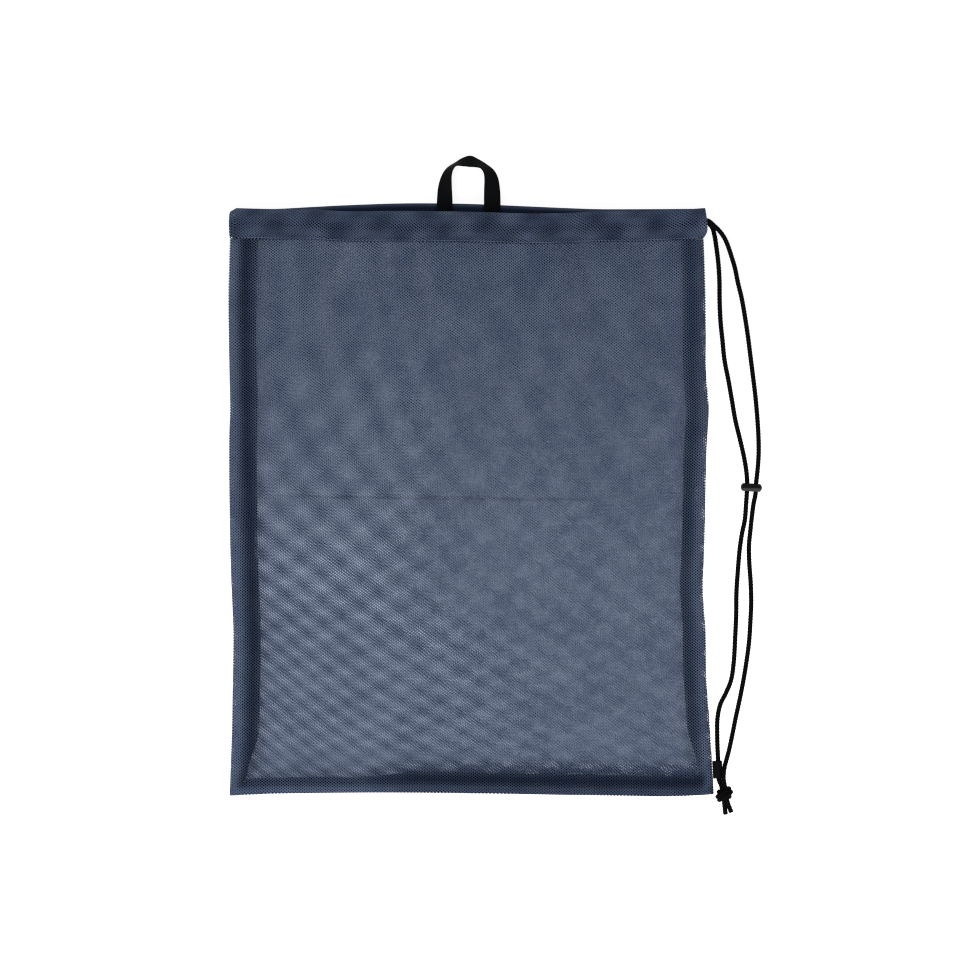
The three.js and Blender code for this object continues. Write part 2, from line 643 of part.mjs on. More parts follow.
// Finishes
const finish = (color, roughness) => new THREE.MeshStandardMaterial({ color, roughness, metalness: 0 });
const meshCloth = () => finish(0x55617a, 0.85);
const foldedCloth = () => finish(0x2b364b, 0.85);
const blackWebbing = () => finish(0x101214, 0.75);
const blackCord = () => finish(0x0e0f10, 0.7);
const greyPlastic = () => finish(0x2c2c2d, 0.4);

// Assembly
const bag = new THREE.Group();
function addPiece(name, geometry, material) {
  const piece = new THREE.Mesh(geometry, material);
  piece.name = name;
  bag.add(piece);
  return piece;
}

addPiece("back_panel", panelGeometry(backStitch, () => BACK_LEVEL, 8, 10), meshCloth());
addPiece("front_panel", panelGeometry(frontStitch, frontHeight, 24, 18), meshCloth());
addPiece("hem_channel", hemGeometry(), foldedCloth());
addPiece("left_seam", sideSeamGeometry(-1), foldedCloth());
addPiece("right_seam", sideSeamGeometry(1), foldedCloth());
addPiece("bottom_seam", bottomSeamGeometry(), foldedCloth());
addPiece("hang_loop", hangLoopGeometry(), blackWebbing());

const tab = addPiece("side_tab", sideTabGeometry(), blackWebbing());
const tabLow = rightEdge(TAB_Y - TAB_LENGTH / 2);
const tabHigh = rightEdge(TAB_Y + TAB_LENGTH / 2);
tab.position.set((tabLow + tabHigh) / 2 + CLOTH / 2 + GAP, TAB_Y, 0);
tab.rotation.z = Math.atan2(tabLow - tabHigh, TAB_LENGTH);

addPiece("cord_in_hem", cordInHemGeometry(), blackCord());
addPiece("cord_inner", cordGeometry(INNER_STRAND, 56), blackCord());
addPiece("cord_outer", cordGeometry(OUTER_STRAND, 44), blackCord());

const bead = addPiece("cord_bead", beadGeometry(), greyPlastic());
bead.position.set(BEAD.x, BEAD.y, BEAD.height / 2);
bead.rotation.z = degToRad(BEAD.turn);

addPiece("cord_knot", knotGeometry(), blackCord());

export default bag;
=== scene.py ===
from dataclasses import dataclass, field

import bpy
import numpy as np
from bpy.props import FloatProperty, FloatVectorProperty, PointerProperty
from bpy.types import Operator, Panel, PropertyGroup
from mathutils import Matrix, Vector


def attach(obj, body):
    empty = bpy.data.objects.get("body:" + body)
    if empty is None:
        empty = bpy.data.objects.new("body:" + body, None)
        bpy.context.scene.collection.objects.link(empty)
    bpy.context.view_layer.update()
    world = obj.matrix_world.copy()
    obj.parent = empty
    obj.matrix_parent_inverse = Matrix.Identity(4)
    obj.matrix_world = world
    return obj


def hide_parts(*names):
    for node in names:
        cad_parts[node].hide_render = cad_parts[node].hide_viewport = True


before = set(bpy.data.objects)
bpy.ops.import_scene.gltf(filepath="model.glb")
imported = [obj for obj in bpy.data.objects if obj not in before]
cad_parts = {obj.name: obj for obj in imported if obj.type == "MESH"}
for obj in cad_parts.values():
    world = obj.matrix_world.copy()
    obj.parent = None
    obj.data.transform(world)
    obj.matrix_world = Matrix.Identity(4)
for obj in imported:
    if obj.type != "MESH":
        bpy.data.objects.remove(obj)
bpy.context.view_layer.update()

bl_info = {
    "name": "Mesh swim bag",
    "version": (1, 0, 0),
    "blender": (4, 5, 0),
    "location": "View3D > Sidebar > Swim bag",
    "description": "Dresses a flat mesh swim bag: knitted cloth, hem, webbing, drawcord, bead and stage",
    "category": "Add Mesh",
}

# Metres, +Z up. +X runs across the bag and +Y from its bottom seam to its mouth.
BODY = "root"

# Hem: a flat tunnel that the cord runs in
HEM_HEIGHT = 0.029
HEM_THICK = 0.0072
HEM_FULLNESS = 0.6
HEM_LEFT_END = -0.2266
HEM_RIGHT_END = 0.2265
CORD_HEM_END = 0.2245
SEAT = 0.0003  # clearance between neighbouring pieces

# Mouth: the front rim stands above the back one between the two ends of the opening
MOUTH_MIDDLE = 0.019
MOUTH_HALF = 0.155
MOUTH_LIFT = 0.008

# Fullness of the front panel over the hollow
CROWN = 0.0096
MOUTH_SLOPE = 0.170
SEAM_ROLL = 0.003
SEAM_ROLL_SHARE = 0.35
SEAM_SLOPE = 0.040
CORNER = 4  # the higher, the sharper the corner between two seams

# Seam allowances inside the edges: distance from the edge and width, for the side ones left and right. They
# narrow to a share over a length at the bottom corners, and the bottom one is broader from its second x on.
SIDE_SEAMS = ((0.008, 0.018), (0.007, 0.0145))
SEAM_CORNER = (0.4, 0.050)
BOTTOM_SEAM = ((-0.110, 0.005, 0.010), (-0.040, 0.0038, 0.0155))
MITRE_GAP = 0.00005
SEAM_LEVEL = 0.00235
SEAM_THICK = 0.0018

# Side edges of the panels, from the bottom seam to the hem: y, left, right.
SIDE_EDGES = np.array([
    (-0.280, -0.2260, 0.2340),
    (-0.236, -0.2245, 0.2315),
    (-0.205, -0.2235, 0.2295),
    (-0.170, -0.2230, 0.2270),
    (-0.122, -0.2225, 0.2260),
    (-0.084, -0.2240, 0.2235),
    (-0.040, -0.2255, 0.2250),
    (0.048, -0.2265, 0.2270),
    (0.087, -0.2255, 0.2290),
    (0.120, -0.2260, 0.2265),
    (0.190, -0.2270, 0.2260),
    (0.250, -0.2255, 0.2240),
])

# Bottom edge, from the left corner to the right one: x, y.
BOTTOM_EDGE = np.array([
    (-0.228, -0.2795),
    (-0.180, -0.2775),
    (-0.080, -0.2765),
    (0.020, -0.2775),
    (0.145, -0.2795),
    (0.195, -0.2800),
    (0.236, -0.2780),
])

# Upper edge of the hem: x, back, front.
RIMS = np.array([
    (-0.228, 0.2785, 0.2785),
    (-0.190, 0.2780, 0.2775),
    (-0.145, 0.2802, 0.2772),
    (-0.120, 0.2815, 0.2754),
    (-0.060, 0.2835, 0.2750),
    (0.000, 0.2830, 0.2742),
    (0.060, 0.2805, 0.2726),
    (0.095, 0.2790, 0.2732),
    (0.125, 0.2780, 0.2748),
    (0.165, 0.2780, 0.2754),
    (0.200, 0.2782, 0.2768),
    (0.230, 0.2785, 0.2785),
])

# Gathers that hang from the front hem: place across, half width, length and height.
GATHERS = np.array([
    (-0.196, 0.013, 0.110, -0.0011),
    (-0.160, 0.015, 0.150, 0.0012),
    (-0.118, 0.016, 0.130, -0.0012),
    (-0.072, 0.017, 0.150, 0.0011),
    (-0.020, 0.018, 0.120, -0.0010),
    (0.045, 0.020, 0.110, -0.0009),
    (0.110, 0.018, 0.140, 0.0011),
    (0.165, 0.016, 0.150, -0.0012),
])

# Broad soft dents and swells of the front panel: x, y, half sizes across and along, height.
DENTS = np.array([
    (-0.105, -0.150, 0.080, 0.045, 0.0012),
    (0.085, -0.238, 0.062, 0.016, -0.0022),
    (0.040, -0.120, 0.060, 0.070, -0.0011),
    (0.150, -0.060, 0.045, 0.080, 0.0012),
    (-0.060, 0.040, 0.075, 0.060, -0.0009),
])

# Slow waves that stretch the knitted lattice of a panel: x and y wavelengths, turn of phase, u and v shifts.
STRETCHES = np.array([
    (0.210, 0.390, 0.4, 0.0008, 0.0006),
    (-0.174, 0.230, 2.1, 0.0005, -0.0005),
    (0.330, -0.185, 3.7, -0.0006, 0.0006),
    (0.120, 0.500, 5.2, 0.0002, 0.0002),
])

# Hang loop: outer and inner edge of its webbing, from the left leg over the top to the right leg.
LOOP_EDGES = np.array([
    [(-0.0292, 0.2620, 0.0083), (-0.0142, 0.2620, 0.0083)],
    [(-0.0290, 0.2860, 0.0076), (-0.0142, 0.2860, 0.0081)],
    [(-0.0275, 0.3000, 0.0044), (-0.0150, 0.3000, 0.0102)],
    [(-0.0240, 0.3105, 0.0022), (-0.0150, 0.3095, 0.0130)],
    [(-0.0195, 0.3170, 0.0013), (-0.0136, 0.3146, 0.0142)],
    [(-0.0120, 0.3220, 0.0011), (-0.0108, 0.3180, 0.0146)],
    [(-0.0045, 0.3266, 0.0011), (-0.0043, 0.3180, 0.0128)],
    [(0.0028, 0.3286, 0.0011), (0.0024, 0.3174, 0.0112)],
    [(0.0102, 0.3254, 0.0011), (0.0080, 0.3170, 0.0126)],
    [(0.0185, 0.3202, 0.0011), (0.0128, 0.3156, 0.0140)],
    [(0.0252, 0.3146, 0.0014), (0.0156, 0.3110, 0.0126)],
    [(0.0290, 0.3070, 0.0026), (0.0162, 0.3050, 0.0104)],
    [(0.0308, 0.2960, 0.0052), (0.0158, 0.2960, 0.0092)],
    [(0.0314, 0.2840, 0.0078), (0.0156, 0.2840, 0.0082)],
    [(0.0310, 0.2620, 0.0083), (0.0158, 0.2620, 0.0083)],
])

# Side tab: a folded loop of tape at the right edge
TAB_Y = -0.255
TAB_LENGTH = 0.0165
TAB_TAPE = 0.0012
TAB_BEND = 0.0026
TAB_REACH = 0.0051
TAB_OFF_EDGE = 0.0008
TAB_STEPS = (10, 28, 60)  # along a ply, round the fold and along the seam

# Cord bead: an oblong with two holes, lying across both strands
BEAD_PLACE = np.array((0.2696, 0.0133, 0.0045))
BEAD_TURN = np.radians(-3.5)
BEAD_HOLE = 0.0052
BEAD_HOLES_APART = 0.0086
BEAD_STEPS = (8, 33, 13, 15)  # along a flat, round an end, up the middle, and from a hole to the outline

# Cord knot: a wrap round the two strands, turned across them
KNOT_PLACE = np.array((0.2437, -0.2779, 0.0063))
KNOT_TURN = np.radians(28)
KNOT_WRAP = (0.0066, 0.0039)  # half width and half height of the wrap's middle line
KNOT_PITCH = 0.0034
KNOT_TURNS = 2.6
KNOT_STEPS = 150
KNOT_TUCK = (0.45, 0.14)  # share that the wrap draws in to at its ends, and share of its length for that

# Braid of the cord: strands round it, steps along it, sides of a free and of a hidden cord
BRAID_AROUND = 4
CORD_STEP = 0.0005
CORD_SIDES = 24
HIDDEN_CORD_SIDES = 12

# Cord inside the hem: x and distance of its middle from the hem's middle line, towards the rim.
CORD_ON_FRONT = np.array([
    (-0.218, -0.0063), (-0.120, -0.004), (0.030, -0.006), (0.150, -0.005), (0.227, 0.003)])
CORD_ON_BACK = np.array([(-0.218, 0.0063), (-0.060, 0.004), (0.120, 0.002), (0.227, 0.0008)])

# Free strand from the back run: beside the bag, through the bead and the tab, to the knot.
INNER_STRAND = np.array([
    (0.2254, 0.2646, 0.0036), (0.2286, 0.2644, 0.0036), (0.2326, 0.2602, 0.003), (0.2348, 0.2525, 0.0023),
    (0.2369, 0.239, 0.0021), (0.2385, 0.225, 0.0021), (0.2394, 0.21, 0.0021), (0.2396, 0.191, 0.0021),
    (0.2404, 0.172, 0.0021), (0.2423, 0.153, 0.0021), (0.2443, 0.134, 0.0021), (0.248, 0.115, 0.0021),
    (0.2513, 0.096, 0.0021), (0.2546, 0.077, 0.0021), (0.2592, 0.058, 0.0021), (0.2628, 0.042, 0.0022),
    (0.2649, 0.029, 0.0034), (0.2656, 0.0185, 0.0045), (0.2653, 0.008, 0.0045), (0.2647, -0.002, 0.0035),
    (0.2636, -0.017, 0.0022), (0.2606, -0.032, 0.0021), (0.2584, -0.048, 0.0021), (0.257, -0.065, 0.0021),
    (0.2556, -0.086, 0.0021), (0.2553, -0.108, 0.0021), (0.2543, -0.131, 0.0021), (0.253, -0.153, 0.0021),
    (0.2504, -0.17, 0.0021), (0.2456, -0.182, 0.0021), (0.2402, -0.193, 0.0021), (0.2376, -0.206, 0.0021),
    (0.2373, -0.222, 0.0021), (0.2376, -0.235, 0.0028), (0.2381, -0.246, 0.0037), (0.2385, -0.256, 0.0038),
    (0.2389, -0.2644, 0.0038), (0.2409, -0.2695, 0.0052),
])

# Free strand from the front run: over the other strand, through the bead and past the tab, to the knot.
OUTER_STRAND = np.array([
    (0.2254, 0.2666, 0.0111), (0.2284, 0.266, 0.0111), (0.2334, 0.262, 0.0101), (0.2396, 0.2562, 0.008),
    (0.2444, 0.2494, 0.0058), (0.2479, 0.2415, 0.004), (0.2508, 0.233, 0.0027), (0.254, 0.2225, 0.0021),
    (0.257, 0.208, 0.0021), (0.2606, 0.193, 0.0021), (0.2636, 0.176, 0.0021), (0.2665, 0.157, 0.0021),
    (0.2689, 0.138, 0.0021), (0.2713, 0.119, 0.0021), (0.2736, 0.1, 0.0021), (0.2753, 0.081, 0.0021),
    (0.2765, 0.062, 0.0021), (0.2767, 0.046, 0.0022), (0.2757, 0.031, 0.0034), (0.2742, 0.018, 0.0045),
    (0.2736, 0.0075, 0.0045), (0.2718, -0.002, 0.0036), (0.2703, -0.014, 0.0023), (0.2688, -0.028, 0.0021),
    (0.2675, -0.042, 0.0021), (0.2678, -0.058, 0.0021), (0.2691, -0.077, 0.0021), (0.2696, -0.096, 0.0021),
    (0.2688, -0.115, 0.0021), (0.2675, -0.134, 0.0021), (0.265, -0.153, 0.0021), (0.2622, -0.17, 0.0021),
    (0.2587, -0.188, 0.0021), (0.2548, -0.206, 0.0021), (0.2516, -0.222, 0.0021), (0.2486, -0.236, 0.0024),
    (0.246, -0.245, 0.0048), (0.244, -0.252, 0.0072), (0.2431, -0.258, 0.0081), (0.2429, -0.263, 0.0083),
    (0.2437, -0.268, 0.0074),
])

# The strands inside the knot and their tails below it.
KNOT_STRANDS = np.array([
    [(0.2409, -0.2695, 0.0052), (0.2421, -0.2750, 0.0060), (0.2434, -0.2800, 0.0054),
     (0.2440, -0.2870, 0.0034), (0.2446, -0.2920, 0.0023), (0.2453, -0.2975, 0.0021)],
    [(0.2437, -0.2680, 0.0074), (0.2450, -0.2740, 0.0068), (0.2458, -0.2800, 0.0054),
     (0.2474, -0.2870, 0.0034), (0.2490, -0.2910, 0.0023), (0.2508, -0.2955, 0.0021)],
])

# Crease left by folding the bag: share of the panel's length, half width and height of the ridge, its ends
# across the bag, length of its fade there, and how far painted shade darkens the yarn along it
CREASE_AT = 0.536
CREASE_WIDTH = 0.0016
CREASE_HEIGHT = 0.0006
CREASE_ENDS = (-0.19, 0.14)
CREASE_FADE = 0.05
CREASE_SHADE = 0.35
PANEL_LENGTH = 0.525

UP = np.array((0.0, 0.0, 1.0))


class StageSettings(PropertyGroup):
    """Camera, floor and studio light."""

    lens: FloatProperty(name="Lens", description="Focal length in millimetres", default=135.0, min=20.0)
    frame_width: FloatProperty(
        name="View width", description="Width of the view at the bag", default=0.9225, unit="LENGTH")
    aim: FloatVectorProperty(
        name="Aim", description="Point that the camera looks down on", size=3, subtype="XYZ",
        default=(0.0166, 0.0152, 0.004))
    # painted light: under the bag the floor takes this blue tint, standing in for light that has passed
    # through the mesh
    floor: FloatVectorProperty(
        name="Floor", description="Colour of the floor", size=4, subtype="COLOR",
        default=(0.70, 0.78, 0.94, 1.0))
    sky: FloatProperty(name="Sky", description="Strength of the even light", default=0.85, min=0.0)
    key: FloatProperty(name="Key", description="Power of the soft key light", default=62.0, unit="POWER")
    border: FloatVectorProperty(
        name="Border", description="Colour of the floor round the bag", size=4, subtype="COLOR",
        default=(0.2, 0.2, 0.2, 1.0))
    glow: FloatProperty(
        name="Glow", description="Light given off by the floor round the bag", default=0.86, min=0.0)
    under: FloatProperty(
        name="Glow under", description="Light given off by the floor under the bag's lower end",
        default=0.42, min=0.0)


class ClothSettings(PropertyGroup):
    """Knitted mesh cloth."""

    thickness: FloatProperty(
        name="Thickness", description="Thickness of one ply", default=0.001, unit="LENGTH", precision=4)
    across: FloatProperty(
        name="Repeat across", description="Width of the lattice's repeat", default=0.0033, unit="LENGTH")
    along: FloatProperty(
        name="Repeat along", description="Length of the lattice's repeat", default=0.0026, unit="LENGTH")
    closeness: FloatProperty(
        name="Closeness", description="Level of the knit at which a hole opens", default=0.2, min=0.02)
    thread: FloatVectorProperty(
        name="Thread", description="Colour of the yarn", size=4, subtype="COLOR",
        default=(0.064, 0.089, 0.151, 1.0))
    tone_and_highlight: FloatVectorProperty(
        name="Lighter thread", description="Colour of the yarn where it catches more light", size=4,
        subtype="COLOR", default=(0.087, 0.116, 0.181, 1.0))
    # painted shade: the colour that the yarn takes where the painted shade is full
    folded: FloatVectorProperty(
        name="Folded thread", description="Colour of the yarn where plies lie doubled", size=4,
        subtype="COLOR", default=(0.0036, 0.0080, 0.0220, 1.0))


class CordSettings(PropertyGroup):
    """Braided drawcord."""

    diameter: FloatProperty(name="Diameter", description="Diameter of the cord", default=0.004, unit="LENGTH")
    braid: FloatProperty(
        name="Braid", description="Length of one repeat of the braid", default=0.0030, unit="LENGTH")
    relief: FloatProperty(
        name="Relief", description="Height of the braid's strands", default=0.00013, unit="LENGTH",
        precision=5)
    fuzz: FloatProperty(
        name="Fuzz", description="Thickness of the soft nap round the braid", default=0.0002, unit="LENGTH",
        precision=5)
    colour: FloatVectorProperty(
        name="Colour", description="Colour of the cord", size=4, subtype="COLOR",
        default=(0.0012, 0.0012, 0.0013, 1.0))
    # painted highlight: colour of the braid's crowns, where the raised strands catch the light
    tone_and_highlight: FloatVectorProperty(
        name="Crown colour", description="Colour on top of the braid's strands", size=4, subtype="COLOR",
        default=(0.0050, 0.0051, 0.0053, 1.0))


class WebbingSettings(PropertyGroup):
    """Black webbing of the hang loop and tape of the side tab."""

    thickness: FloatProperty(
        name="Thickness", description="Thickness of the loop's webbing", default=0.0014, unit="LENGTH")
    rib: FloatProperty(name="Rib", description="Distance between ribs", default=0.0012, unit="LENGTH")
    colour: FloatVectorProperty(
        name="Colour", description="Colour of the webbing", size=4, subtype="COLOR",
        default=(0.0016, 0.0018, 0.0021, 1.0))
    # painted highlight: colour of the rib tops, where the raised ribs catch the light
    tone_and_highlight: FloatVectorProperty(
        name="Rib colour", description="Colour on top of the ribs", size=4, subtype="COLOR",
        default=(0.0055, 0.0060, 0.0068, 1.0))


class BeadSettings(PropertyGroup):
    """Two-hole bead of grey plastic."""

    length: FloatProperty(
        name="Length", description="Length across the strands", default=0.0203, unit="LENGTH")
    depth: FloatProperty(name="Depth", description="Length along the strands", default=0.0078, unit="LENGTH")
    height: FloatProperty(name="Height", description="Height off the surface", default=0.009, unit="LENGTH")
    edge: FloatProperty(name="Edge", description="Width of the rounding", default=0.0030, unit="LENGTH")
    colour: FloatVectorProperty(
        name="Colour", description="Colour of the plastic", size=4, subtype="COLOR",
        default=(0.0030, 0.0030, 0.0031, 1.0))
    # painted highlight: the lighter colour of the bead's side that faces the key light
    painted_highlight: FloatVectorProperty(
        name="Scuffed colour", description="Colour where the plastic is rubbed", size=4, subtype="COLOR",
        default=(0.036, 0.036, 0.037, 1.0))


class SwimBagSettings(PropertyGroup):
    """All that a user would change on the bag."""

    stage: PointerProperty(type=StageSettings)
    cloth: PointerProperty(type=ClothSettings)
    cord: PointerProperty(type=CordSettings)
    webbing: PointerProperty(type=WebbingSettings)
    bead: PointerProperty(type=BeadSettings)


# Curves and edges

def blend(a, b, share):
    """a at share 0, b at share 1, and in proportion between."""
    return a + (b - a) * share


def smooth_step(t):
    """3t² - 2t³ between 0 and 1, and level outside."""
    t = np.clip(t, 0, 1)
    return t * t * (3 - 2 * t)


def ramp(t, start, length):
    """A smooth step from 0 at the start to 1 a length further on."""
    return smooth_step((t - start) / length)


def unit(vectors):
    """Vectors brought to a length of 1."""
    return vectors / np.linalg.norm(vectors, axis=-1, keepdims=True)


def swung(points, angle):
    """Points turned about the upright axis by an angle."""
    c, s = np.cos(angle), np.sin(angle)
    return points @ np.array(((c, s, 0), (-s, c, 0), (0, 0, 1)))


def through(keys, values, t):
    """A smooth function through the rows of a table: between two rows a cubic whose slope at each row is that
    of the line between the row's two neighbours. It is level outside the table."""
    last = len(keys) - 1
    before = np.maximum(np.arange(last + 1) - 1, 0)
    after = np.minimum(np.arange(last + 1) + 1, last)
    slopes = (values[after] - values[before]) / (keys[after] - keys[before])
    high = np.clip(np.searchsorted(keys, t, side="right"), 1, last)
    low = high - 1
    span = keys[high] - keys[low]
    s = np.clip((t - keys[low]) / span, 0, 1)
    leave = s * (1 - s) ** 2 * slopes[low] * span
    arrive = s * s * (s - 1) * slopes[high] * span
    return blend(values[low], values[high], smooth_step(s)) + leave + arrive


def left_edge(y):
    """x of the bag's left edge."""
    return through(SIDE_EDGES[:, 0], SIDE_EDGES[:, 1], y)


def right_edge(y):
    """x of the bag's right edge."""
    return through(SIDE_EDGES[:, 0], SIDE_EDGES[:, 2], y)


def bottom_edge(x):
    """y of the bag's bottom edge."""
    return through(BOTTOM_EDGE[:, 0], BOTTOM_EDGE[:, 1], x)


def back_rim(x):
    """y of the back hem's upper edge."""
    return through(RIMS[:, 0], RIMS[:, 1], x)


def front_rim(x):
    """y of the front hem's upper edge."""
    return through(RIMS[:, 0], RIMS[:, 2], x)


def curve_through(points, t):
    """A smooth curve through given points, t from 0 to 1: between two points a cubic whose end directions
    come from the four nearest points, weighted by the square roots of their distances."""
    padded = np.vstack([2 * points[0] - points[1], points, 2 * points[-1] - points[-2]])
    place = np.clip(t, 0, 1) * (len(points) - 1)
    first = np.minimum(place.astype(int), len(points) - 2)
    s = (place - first)[:, None]
    p0, p1, p2, p3 = (padded[first + k] for k in range(4))
    d0, d1, d2 = (np.linalg.norm(b - a, axis=1)[:, None] ** 0.5 for a, b in ((p0, p1), (p1, p2), (p2, p3)))
    leave = d1 * ((p1 - p0) / d0 - (p2 - p0) / (d0 + d1) + (p2 - p1) / d1)
    arrive = d1 * ((p2 - p1) / d1 - (p3 - p1) / (d1 + d2) + (p3 - p2) / d2)
    return blend(p1, p2, smooth_step(s)) + s * (1 - s) ** 2 * leave + s * s * (s - 1) * arrive


def lengths_along(path):
    """Distance along a path of points from its start to each point."""
    steps = np.linalg.norm(np.diff(path, axis=0), axis=1)
    return np.concatenate([[0.0], np.cumsum(steps)])


def even_path(points, step):
    """Points at even steps along the smooth curve through given points."""
    fine = curve_through(points, np.linspace(0, 1, 40 * len(points)))
    length = lengths_along(fine)
    even = np.linspace(0, length[-1], int(round(length[-1] / step)) + 1)
    return np.stack([np.interp(even, length, fine[:, k]) for k in range(3)], axis=1)


# Surfaces

@dataclass
class Surface:
    """Points, faces of three or four corners, and a weave or braid place for each corner of each face."""

    points: np.ndarray
    faces: list
    uvs: list
    values: dict = field(default_factory=dict)


def cells(rows, columns, width):
    """The four corners, in order round it, of each cell of a grid whose rows hold width places. A cell past
    the last place of a row takes that row's first place."""
    row, column = np.mgrid[0:rows, 0:columns]
    ahead = (column + 1) % width
    near, far = row * width, (row + 1) * width
    return np.stack([near + column, near + ahead, far + ahead, far + column], axis=-1).reshape(-1, 4)


def outward(surface):
    """Turns a closed surface's faces outwards: they are reversed where the sum of the signed volumes between
    the faces and the origin comes out negative."""
    volume = 0.0
    for corners in surface.faces:
        for k in range(1, corners.shape[1] - 1):
            a, b, c = (surface.points[corners[:, n]] for n in (0, k, k + 1))
            volume += np.einsum("ij,ij->", a, np.cross(b, c))
    if volume < 0:
        surface.faces = [corners[:, ::-1] for corners in surface.faces]
        surface.uvs = [uv[:, ::-1] for uv in surface.uvs]
    return surface


def joined(surfaces):
    """One surface of several, with their points numbered on."""
    starts = np.cumsum([0] + [len(s.points) for s in surfaces])
    faces = [corners + start for s, start in zip(surfaces, starts) for corners in s.faces]
    uvs = [uv for s in surfaces for uv in s.uvs]
    values = {name: np.concatenate([s.values[name] for s in surfaces]) for name in surfaces[0].values}
    return Surface(np.concatenate([s.points for s in surfaces]), faces, uvs, values)


def wall(middle, thickness, uv, lower_uv=None, values=None):
    """A closed wall round a grid of middle points: its two faces lie half the thickness to each side along
    the grid's normal, and a rim joins their edges."""
    rows, columns = middle.shape[:2]
    count = rows * columns
    normal = unit(np.cross(np.gradient(middle, axis=1), np.gradient(middle, axis=0)))
    half = np.broadcast_to(np.asarray(thickness, float) / 2, (rows, columns))[..., None] * normal
    points = np.concatenate([(middle + half).reshape(-1, 3), (middle - half).reshape(-1, 3)])
    top = cells(rows - 1, columns - 1, columns)
    place = np.arange(count).reshape(rows, columns)
    rim = np.concatenate([place[0, :-1], place[:-1, -1], place[-1, :0:-1], place[:0:-1, 0]])
    ahead = np.roll(rim, -1)
    side = np.stack([ahead, rim, rim + count, ahead + count], axis=1)
    places = np.concatenate([uv.reshape(-1, 2), (uv if lower_uv is None else lower_uv).reshape(-1, 2)])
    faces = [top, top[:, ::-1] + count, side]
    doubled = {name: np.tile(value.ravel(), 2) for name, value in (values or {}).items()}
    return outward(Surface(points, faces, [places[corners] for corners in faces], doubled))


def tunnel(outer, inner, uv, values):
    """A closed wall between two sets of rings, open at both ends as a sleeve is."""
    rows, sides = outer.shape[:2]
    count = rows * sides
    points = np.concatenate([outer.reshape(-1, 3), inner.reshape(-1, 3)])
    skin = cells(rows - 1, sides, sides)
    skin_uv = uv.reshape(-1, 2)[cells(rows - 1, sides, sides + 1)]
    first = np.arange(sides)
    ahead = np.roll(first, -1)
    last = (rows - 1) * sides
    near = np.stack([ahead, first, first + count, ahead + count], axis=1)
    far = np.stack([last + first, last + ahead, last + ahead + count, last + first + count], axis=1)
    places = uv[:, :-1].reshape(-1, 2)
    ends = [places[corners % count] for corners in (near, far)]
    doubled = {name: np.tile(value.ravel(), 2) for name, value in values.items()}
    faces = [skin, skin[:, ::-1] + count, near, far]
    return outward(Surface(points, faces, [skin_uv, skin_uv[:, ::-1], *ends], doubled))


def end_fans(rows, sides):
    """Triangles that close a grid of rings at both ends, to the two poles that follow the grid's points."""
    first = np.arange(sides)
    ahead = np.roll(first, -1)
    last = (rows - 1) * sides
    near = np.stack([ahead, first, np.full(sides, rows * sides)], axis=1)
    far = np.stack([last + first, last + ahead, np.full(sides, rows * sides + 1)], axis=1)
    return near, far


# Rounding of a cord's end: share of the radius and step ahead, in radii, of each ring, and the pole's step
END_RINGS = ((0.85, 0.12), (0.45, 0.22))
END_POLE = 0.25


def tube(path, side, up, radius, uv):
    """A profile carried along a path: each ring lies in the plane of two crosswise directions, radius gives
    the profile at each ring and angle, and two short rings and a pole close each end."""
    rings, sides = radius.shape
    angle = 2 * np.pi * np.arange(sides) / sides
    out = side[:, None] * np.cos(angle)[None, :, None] + up[:, None] * np.sin(angle)[None, :, None]
    skin = path[:, None] + radius[..., None] * out
    ahead = np.cross(side, up)
    size = radius.mean()

    def cap(n, sign):
        """The rings past one end of the path, each smaller than the last."""
        return np.stack([
            path[n] + share * radius[n][:, None] * out[n] + sign * step * size * ahead[n]
            for share, step in END_RINGS])

    grid = np.concatenate([cap(0, -1)[::-1], skin, cap(-1, 1)])
    uv = np.concatenate([uv[:1], uv[:1], uv, uv[-1:], uv[-1:]])
    rows = rings + 2 * len(END_RINGS)
    poles = np.stack([path[0] - END_POLE * size * ahead[0], path[-1] + END_POLE * size * ahead[-1]])
    points = np.concatenate([grid.reshape(-1, 3), poles])
    end_uvs = [np.repeat(uv[n, :-1][:, None], 3, axis=1) for n in (0, -1)]
    skin_uv = uv.reshape(-1, 2)[cells(rows - 1, sides, sides + 1)]
    faces = [cells(rows - 1, sides, sides), *end_fans(rows, sides)]
    return outward(Surface(points, faces, [skin_uv, *end_uvs]))


def add_piece(name, surface, material, nodes=(), sharp=40):
    """Puts a surface into a new mesh object, smooth but for edges sharper than an angle, and rides it."""
    mesh = bpy.data.meshes.new(name)
    corners = np.concatenate([f.ravel() for f in surface.faces]).astype(np.int32)
    totals = np.concatenate([np.full(len(f), f.shape[1]) for f in surface.faces]).astype(np.int32)
    starts = np.concatenate([[0], np.cumsum(totals)[:-1]]).astype(np.int32)
    mesh.vertices.add(len(surface.points))
    mesh.vertices.foreach_set("co", surface.points.astype(np.float32).ravel())
    mesh.loops.add(len(corners))
    mesh.loops.foreach_set("vertex_index", corners)
    mesh.polygons.add(len(totals))
    mesh.polygons.foreach_set("loop_start", starts)
    mesh.polygons.foreach_set("loop_total", totals)
    mesh.polygons.foreach_set("use_smooth", np.ones(len(totals), bool))
    places = mesh.uv_layers.new(name="weave")
    flat = np.concatenate([uv.reshape(-1, 2) for uv in surface.uvs]).astype(np.float32)
    places.uv.foreach_set("vector", flat.ravel())
    for key, value in surface.values.items():
        mesh.attributes.new(key, "FLOAT", "POINT").data.foreach_set("value", value.astype(np.float32))
    mesh.update(calc_edges=True)
    if mesh.validate():
        raise RuntimeError(f"{name} has faces that are not valid")
    mesh.set_sharp_from_angle(angle=np.radians(sharp))
    mesh.materials.append(material)
    piece = bpy.data.objects.new(name, mesh)
    bpy.context.scene.collection.objects.link(piece)
    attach(piece, BODY)
    if nodes:
        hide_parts(*nodes)
    return piece


# Finishes

